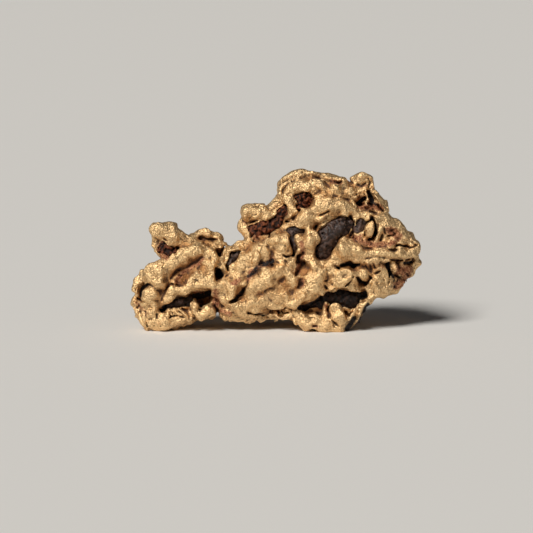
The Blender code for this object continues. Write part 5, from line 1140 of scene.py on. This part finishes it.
# %% Stones
STONE_TRIANGLES = 9000     # at most, for one stone
STONE_GROWTH = 0.10        # mm
CHIP_SIZE, CHIP_HEIGHT, CHIP_SEED = 1.3, 0.14, 31       # mm, mm
CHIP_LEVEL = 0.8           # of the noise's spread, what a chip's height is counted from
GRIT_SIZE, GRIT_HEIGHT, GRIT_SEED = 0.55, 0.06, 32      # mm, mm
CLOD_SIZE, CLOD_HEIGHT, CLOD_SEED = 0.95, 0.17, 33      # mm, mm, the height for the stones that crumble
RUSTY_GRIT = 0.17          # mm, the grit's height for the same stones
RUSTY_STONES = ("ironstone_finger", "ironstone_crown", "ironstone_cup")

chips = np.abs(noise(CHIP_SIZE, CHIP_SEED)) - CHIP_LEVEL
grit = noise(GRIT_SIZE, GRIT_SEED)
clods = noise(CLOD_SIZE, CLOD_SEED)
stones = {}
for name, field in stone_fields.items():
    if name in RUSTY_STONES:
        relief = RUSTY_GRIT * grit + CLOD_HEIGHT * clods
    else:
        relief = GRIT_HEIGHT * (grit + clods)
    body = field - STONE_GROWTH + CHIP_HEIGHT * chips + relief
    stones[name] = make_piece(name.replace("ironstone", "stone"), body, STONE_TRIANGLES)
    store(stones[name], "pits", field_at(grit + clods, stones[name]))

# %% [markdown]
# ## Writing materials as sums
#
# A material is a graph of nodes, and graphs drawn link by link are hard to read. A small class wraps a
# socket and gives it +, - and *, so that mixing masks reads as it would on paper. Every other node comes
# from one method, which takes the node's kind, its settings and what goes into its sockets. A mask is a
# number from 0 to 1 that says how much of something there is at a spot.

# %% Node tools
class Wire:
    """An output socket that can be used in sums. Each sum adds Math nodes to its bench."""

    def __init__(self, bench, socket):
        self.bench = bench
        self.socket = socket

    def sum(self, operation, other=0.0, swapped=False, clamp=False):
        first, second = (other, self) if swapped else (self, other)
        return self.bench.node("ShaderNodeMath", {"operation": operation, "use_clamp": clamp},
                               {0: first, 1: second})

    def __add__(self, other):
        return self.sum("ADD", other)

    __radd__ = __add__

    def __mul__(self, other):
        return self.sum("MULTIPLY", other)

    def __sub__(self, other):
        return self.sum("SUBTRACT", other)

    def __rsub__(self, other):
        return self.sum("SUBTRACT", other, swapped=True)

    def clamped(self):
        return self.sum("ADD", 0.0, clamp=True)

    def rising(self, low, high):
        """0 below low, 1 above high, and a smooth rise between."""
        return self.bench.node("ShaderNodeMapRange", {"interpolation_type": "SMOOTHSTEP"},
                               {"Value": self, "From Min": low, "From Max": high})


class Bench:
    """A node tree being filled."""

    def __init__(self, tree):
        self.tree = tree

    def node(self, kind, settings=None, values=None, out=0):
        made = self.tree.nodes.new(kind)
        for setting, value in (settings or {}).items():
            setattr(made, setting, value)
        for key, value in (values or {}).items():
            if isinstance(value, Wire):
                self.tree.links.new(value.socket, made.inputs[key])
            else:
                made.inputs[key].default_value = value
        return Wire(self, made.outputs[out]) if made.outputs else None

    def mix(self, share, first, second):
        """Two colours, mixed by a share from 0 to 1."""
        return self.node("ShaderNodeMix", {"data_type": "RGBA"}, {0: share, 6: first, 7: second}, out=2)

    def noise(self, place, scale, detail, roughness=0.55, warp=0.0):
        return self.node("ShaderNodeTexNoise", None, {
            "Vector": place, "Scale": scale, "Detail": detail, "Roughness": roughness, "Distortion": warp})

    def attribute(self, name):
        return self.node("ShaderNodeAttribute", {"attribute_name": name}, None, out=2)


def start_material(name):
    """An empty material, the bench of its node tree, and the place on the piece in metres."""
    material = bpy.data.materials.new(name)
    material.use_nodes = True
    material.node_tree.nodes.clear()
    bench = Bench(material.node_tree)
    place = bench.node("ShaderNodeTexCoord", out=3)
    return material, bench, place


def finish_material(bench, values):
    """The surface and the output node. Values are those of the Principled shader's sockets."""
    shader = bench.node("ShaderNodeBsdfPrincipled", None, values)
    bench.node("ShaderNodeOutputMaterial", None, {"Surface": shader})


print("node tools ready")

# %% [markdown]
# ## Gold and its stain
# Native gold is paler than a ring: it holds some silver. Its colour is deeper in random patches, and deeper
# again towards the hollows, which is painted shade. Brown sits in fine pits all over. Wrinkles too thin for
# the mesh are the lines where a noise is near its middle, and they are painted dark as their shade. Hollows
# keep a film of iron oxide that is darkened further as painted shade, creases are darkened as dirt and
# painted shade, and drawn patches are rust, or crust and painted shadow. The bump is a fine grain of two
# sizes, which gives the metal its satin look.

# %% Gold material
GOLD_BRIGHT = (0.90, 0.635, 0.335, 1.0)
# The deeper gold is random tone, and painted shade where it gathers in the hollows.
GOLD_DEEP_AND_SHADED = (0.70, 0.41, 0.17, 1.0)
# The brown below is oxide in the pits and hollows, and painted shade that darkens the hollows.
OXIDE_AND_SHADE_BROWN = (0.32, 0.135, 0.045, 1.0)
RUST_RED = (0.30, 0.090, 0.042, 1.0)
RUST_ORANGE = (0.57, 0.28, 0.135, 1.0)
# The wrinkle brown is painted shade along creases too fine for the mesh.
WRINKLE_SHADE_BROWN = (0.12, 0.045, 0.015, 1.0)
# The dirt brown is dirt, and painted shade that darkens the creases.
DIRT_AND_SHADE_BROWN = (0.060, 0.022, 0.010, 1.0)
# The nearly black colour is crust, and painted shadow in deep holes.
CRUST_AND_SHADOW_BLACK = (0.012, 0.006, 0.005, 1.0)
PATCH_SCALE = 450.0        # lumps of noise in a metre
LINE_SCALE = 420.0
FINE_SCALE = 2000.0
GRAIN_SCALE = 4600.0
PIT_SHARE = 0.50           # how much of the metal's colour a pit, a wrinkle and so on take over
WRINKLE_SHADE_SHARE = 0.75
FILM_AND_SHADE_SHARE = 0.8
RUST_SHARE = 0.9
DIRT_AND_SHADE_SHARE = 0.9
FILM_AND_SHADE_RISE = (0.44, 0.64)   # where a mask begins to rise from 0, and where it has reached 1
CREASE_RISE = (0.40, 0.56)
DIRT_AND_SHADE_RISE = (0.53, 0.67)
RUST_RISE = (0.20, 0.80)
CRUST_AND_SHADOW_RISE = (0.40, 0.75)
CRUST_AND_SHADOW_DEPTH = (0.42, 0.58)
DEEP_AND_SHADE_RISE = (0.33, 0.70)
PIT_RISE = (0.38, 0.52)
ORANGE_RISE = (0.40, 0.62)
MIDDLE = 0.5               # what a noise gives on average
LINE_HALF = 0.025          # either side of the middle, where a noise makes a wrinkle
FILM_AND_SHADE_RAGGED = 0.30         # how far the patches push a mask's edge about
RUST_RAGGED = 1.0
CRUST_AND_SHADOW_RAGGED = 0.6
DIRT_AND_SHADE_FRAYED = 0.25         # how far the fine noise does
RUST_FRAYED = 1.4
CRUST_AND_SHADOW_ON_TOP = 0.4         # how much of the crust stays where there is no hollow
HOLLOW_SHADE_CONTRAST = 2.2
FILM_AND_SHADE_DULL, RUST_DULL, DIRT_AND_SHADE_DULL, CRUST_AND_SHADOW_DULL = 0.25, 0.40, 0.6, 0.9      # how much metal each one hides
WRINKLE_DENT = 0.4         # of the bump's height
GOLD_ROUGHNESS = 0.53
DULL_ROUGHNESS = 0.27      # added where the gold is covered
FINE_ROUGHNESS = 0.15      # added or taken by the fine noise
GOLD_BUMP = 0.00042        # m

gold_material, bench, place = start_material("native gold")
crease = bench.attribute("crease")
hollow = bench.attribute("hollow")
rust_patch = bench.attribute("rust")
crust_and_shadow_patch = bench.attribute("crust_and_shadow")
patches = bench.noise(place, PATCH_SCALE, 5.0)
fine = bench.noise(place, FINE_SCALE, 1.5, 0.5)
grain = bench.noise(place, GRAIN_SCALE, 1.0, 0.5)

# A brown film in the hollows: iron oxide, and painted shade that darkens them.
film_and_shade = (hollow + (patches - MIDDLE) * FILM_AND_SHADE_RAGGED).rising(*FILM_AND_SHADE_RISE)
lines = bench.noise(place, LINE_SCALE, 1.0, 0.5, warp=1.5)
line_start = lines.rising(MIDDLE - LINE_HALF, MIDDLE)
line_end = lines.rising(MIDDLE, MIDDLE + LINE_HALF)
wrinkles = line_start * (1 - line_end) * crease.rising(*CREASE_RISE)
# Dark brown along the creases: dirt, and painted shade.
dirt_and_shade = (crease + (fine - MIDDLE) * DIRT_AND_SHADE_FRAYED).rising(*DIRT_AND_SHADE_RISE)
rust = (rust_patch + (patches - MIDDLE) * RUST_RAGGED + (fine - MIDDLE) * RUST_FRAYED).rising(*RUST_RISE)
# Nearly black patches, held more in the hollows: crust, and painted shadow in deep holes.
crust_and_shadow_held = crust_and_shadow_patch * (hollow.rising(*CRUST_AND_SHADOW_DEPTH) * (1 - CRUST_AND_SHADOW_ON_TOP) + CRUST_AND_SHADOW_ON_TOP)
crust_and_shadow = (crust_and_shadow_held + (patches - MIDDLE) * CRUST_AND_SHADOW_RAGGED).rising(*CRUST_AND_SHADOW_RISE)

# Deeper gold in random patches, and more of it towards the hollows as painted shade.
deep_and_shaded = (patches + (hollow - MIDDLE) * HOLLOW_SHADE_CONTRAST).rising(*DEEP_AND_SHADE_RISE)
metal_colour = bench.mix(deep_and_shaded, GOLD_BRIGHT, GOLD_DEEP_AND_SHADED)
pits = 1 - (grain * 0.6 + fine * 0.4).rising(*PIT_RISE)
metal_colour = bench.mix(pits * PIT_SHARE, metal_colour, OXIDE_AND_SHADE_BROWN)
# Fine wrinkles in the creases are painted dark, as painted shade.
metal_colour = bench.mix(wrinkles * WRINKLE_SHADE_SHARE, metal_colour, WRINKLE_SHADE_BROWN)
rust_colour = bench.mix(grain.rising(*ORANGE_RISE), RUST_RED, RUST_ORANGE)
# Rust, laid over the hollows' film of oxide and painted shade.
stained_and_shaded = bench.mix(rust * RUST_SHARE, bench.mix(film_and_shade * FILM_AND_SHADE_SHARE, metal_colour, OXIDE_AND_SHADE_BROWN), rust_colour)
colour = bench.mix(crust_and_shadow, bench.mix(dirt_and_shade * DIRT_AND_SHADE_SHARE, stained_and_shaded, DIRT_AND_SHADE_BROWN), CRUST_AND_SHADOW_BLACK)
dull = (film_and_shade * FILM_AND_SHADE_DULL + rust * RUST_DULL + dirt_and_shade * DIRT_AND_SHADE_DULL + crust_and_shadow * CRUST_AND_SHADOW_DULL).clamped()
height = fine * 0.55 + grain * 0.45 - wrinkles * WRINKLE_DENT
bump = bench.node("ShaderNodeBump", None, {"Strength": 1.0, "Distance": GOLD_BUMP, "Height": height})
finish_material(bench, {
    "Base Color": colour,
    "Metallic": 1 - dull,
    "Roughness": GOLD_ROUGHNESS + dull * DULL_ROUGHNESS + (fine - MIDDLE) * FINE_ROUGHNESS,
    "Normal": bump,
})
nugget.data.materials.append(gold_material)
print("gold made of", len(gold_material.node_tree.nodes), "nodes")

# %% [markdown]
# ## Ironstone
#
# Ironstone is a dark purplish brown with a faint shine on its broken faces. Three of the stones are rusted
# right through, and the two that lie deepest get a nearly black copy of the ironstone, as painted shade.
# One function makes all three kinds, and the grains of the last step too. The pits stored on a stone's
# points make its low places darker.

# %% Ironstone material
STONE_DARK = (0.018, 0.008, 0.006, 1.0)
STONE_BROWN = (0.082, 0.042, 0.029, 1.0)
RUSTY_DARK = (0.018, 0.006, 0.004, 1.0)
RUSTY_RED = (0.210, 0.060, 0.022, 1.0)
GRAIN_DARK = (0.080, 0.022, 0.009, 1.0)
GRAIN_ORANGE = (0.340, 0.130, 0.050, 1.0)
# A nearly black copy of the ironstone, for the two stones that lie deepest: painted shade.
SHADED_STONE_DARK = (0.006, 0.003, 0.002, 1.0)
SHADED_STONE_BROWN = (0.030, 0.012, 0.007, 1.0)
SHADED_STONES = ("ironstone_slot", "ironstone_foot")
BROAD_SCALE = 420.0        # lumps of noise in a metre
CHIPPED_SCALE = 1800.0
GRITTY_SCALE = 4500.0
STONE_UNEVEN = 0.4         # how far the roughness wanders
LIGHT_RISE = (0.42, 0.62)  # where the light colour begins, and where it is full
PIT_DARKENS = 0.07
FLOOR_COLOUR = (0.78, 0.77, 0.75, 1.0)
FLOOR_ROUGHNESS = 0.8


def stone_material(name, dark, light, shine, roughness, bump_height):
    """Dull rock in two colours, with chips and grain in its bump."""
    material, bench, place = start_material(name)
    broad = bench.noise(place, BROAD_SCALE, 6.0, 0.6)
    fine = bench.noise(place, CHIPPED_SCALE, 5.0, 0.65)
    grain = bench.noise(place, GRITTY_SCALE, 2.0, 0.6)
    pits = bench.attribute("pits")
    lit = (broad * 0.55 + fine * 0.45 - pits * PIT_DARKENS).rising(*LIGHT_RISE)
    colour = bench.mix(lit, dark, light)
    bump = bench.node("ShaderNodeBump", None, {
        "Strength": 1.0, "Distance": bump_height, "Height": broad * 0.3 + fine * 0.4 + grain * 0.3})
    finish_material(bench, {
        "Base Color": colour,
        "Roughness": roughness + (fine - MIDDLE) * STONE_UNEVEN,
        "Specular IOR Level": shine,
        "Normal": bump,
    })
    return material


dark_stone = stone_material("ironstone", STONE_DARK, STONE_BROWN,
                            shine=0.5, roughness=0.45, bump_height=0.00035)
rusty_stone = stone_material("rusty ironstone", RUSTY_DARK, RUSTY_RED,
                             shine=0.3, roughness=0.65, bump_height=0.00070)
# The deepest stones get the darker copy, as painted shade.
shaded_stone = stone_material("shaded ironstone", SHADED_STONE_DARK, SHADED_STONE_BROWN,
                            shine=0.3, roughness=0.60, bump_height=0.00035)
finish_of = {name: dark_stone for name in STONES}
finish_of.update({name: rusty_stone for name in RUSTY_STONES})
finish_of.update({name: shaded_stone for name in SHADED_STONES})
for name, stone in stones.items():
    stone.data.materials.append(finish_of[name])
floor_material, bench, place = start_material("floor")
finish_material(bench, {"Base Color": FLOOR_COLOUR, "Roughness": FLOOR_ROUGHNESS})
floor.data.materials.append(floor_material)
print("materials:", [m.name for m in bpy.data.materials])

# %% [markdown]
# ## Grains of rust
#
# Loose rust and grit sit in the stained hollows of a real nugget. Placing thousands of grains by hand is no
# fun, so Geometry Nodes scatter them: points are thrown over the skin where the stored rust is thick, or
# the hollow is deep, and each gets a small rough grain with its own turn and size. None is thrown so low
# that it would stick out under the floor. At the end the grains are made one plain mesh.

# %% The scatter tree
GRAIN_SIZE = 0.10          # mm, the radius of a middling grain
GRAIN_FACES = 20           # of an icosphere that isn't subdivided
GRAINS_PER_MM2 = 9.0
GRAIN_FLOOR = 0.0004       # m over the floor, below which no grain lies
GRAIN_SEED = 5
RUST_HOLDS = (0.40, 0.80)      # how much rust a spot needs to hold a grain, and to be full of them
HOLLOW_HOLDS = (0.62, 0.75)    # the same for a hollow
HOLLOW_SHARE = 0.25            # how full a hollow gets, next to rust
LEAST_GRAIN = (0.4, 0.4, 0.3)  # of a middling grain, on its three axes
MOST_GRAIN = (1.5, 1.3, 1.0)


def scatter_tree(material):
    """A node group that turns a skin into the loose grains that lie on it."""
    tree = bpy.data.node_groups.new("rust grains", "GeometryNodeTree")
    for name, kind in (("Skin", "NodeSocketGeometry"), ("Grain size", "NodeSocketFloat"),
                       ("Grains per area", "NodeSocketFloat"), ("Seed", "NodeSocketInt")):
        tree.interface.new_socket(name, in_out="INPUT", socket_type=kind)
    tree.interface.new_socket("Grains", in_out="OUTPUT", socket_type="NodeSocketGeometry")
    bench = Bench(tree)
    skin_in, size, density, seed = (bench.node("NodeGroupInput", out=i) for i in range(4))
    rust, hollow = (bench.node("GeometryNodeInputNamedAttribute", {"data_type": "FLOAT"}, {"Name": name})
                    for name in ("rust", "hollow"))
    spot = bench.node("GeometryNodeInputPosition")
    above = bench.node("ShaderNodeSeparateXYZ", None, {0: spot}, out=2).rising(GRAIN_FLOOR, 2 * GRAIN_FLOOR)
    where = (rust.rising(*RUST_HOLDS) + hollow.rising(*HOLLOW_HOLDS) * HOLLOW_SHARE) * above
    points = bench.node("GeometryNodeDistributePointsOnFaces", {"distribute_method": "RANDOM"},
                        {"Mesh": skin_in, "Density": where * density, "Seed": seed})
    grain = bench.node("GeometryNodeMeshIcoSphere", None, {"Radius": 1.0, "Subdivisions": 1})
    turn = bench.node("FunctionNodeRandomValue", {"data_type": "FLOAT_VECTOR"},
                      {"Min": (0.0,) * 3, "Max": (FULL_TURN,) * 3, "Seed": seed})
    shape = bench.node("FunctionNodeRandomValue", {"data_type": "FLOAT_VECTOR"},
                       {"Min": LEAST_GRAIN, "Max": MOST_GRAIN, "Seed": seed})
    scale = bench.node("ShaderNodeVectorMath", {"operation": "SCALE"}, {0: shape, "Scale": size})
    grains = bench.node("GeometryNodeInstanceOnPoints", None,
                        {"Points": points, "Instance": grain, "Rotation": turn, "Scale": scale})
    real = bench.node("GeometryNodeRealizeInstances", None, {"Geometry": grains})
    painted = bench.node("GeometryNodeSetMaterial", None, {"Geometry": real, "Material": material})
    bench.node("NodeGroupOutput", None, {0: painted})
    return tree


# %% Scatter the grains
grain_material = stone_material("rust grains", GRAIN_DARK, GRAIN_ORANGE,
                                shine=0.3, roughness=0.7, bump_height=0.00010)
grains = bpy.data.objects.new("rust_grains", nugget.data.copy())
bpy.context.scene.collection.objects.link(grains)
scatter = grains.modifiers.new("scatter", "NODES")
scatter.node_group = scatter_tree(grain_material)
inputs = {
    "Grain size": GRAIN_SIZE * METRES,
    "Grains per area": GRAINS_PER_MM2 / METRES ** 2,
    "Seed": GRAIN_SEED,
}
for socket in scatter.node_group.interface.items_tree:
    if socket.name in inputs:
        scatter[socket.identifier] = inputs[socket.name]
graph = bpy.context.evaluated_depsgraph_get()
scattered = bpy.data.meshes.new_from_object(grains.evaluated_get(graph))
grains.modifiers.clear()
grains.data = scattered
scattered.name = "rust_grains"
print("rust grains:", len(scattered.polygons) // GRAIN_FACES, "of", GRAIN_FACES, "faces each")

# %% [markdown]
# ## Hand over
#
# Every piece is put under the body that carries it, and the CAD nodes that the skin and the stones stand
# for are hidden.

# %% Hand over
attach(nugget, "root")
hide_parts("gold_nugget")
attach(grains, "root")
for name, stone in stones.items():
    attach(stone, "root")
    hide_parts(name)
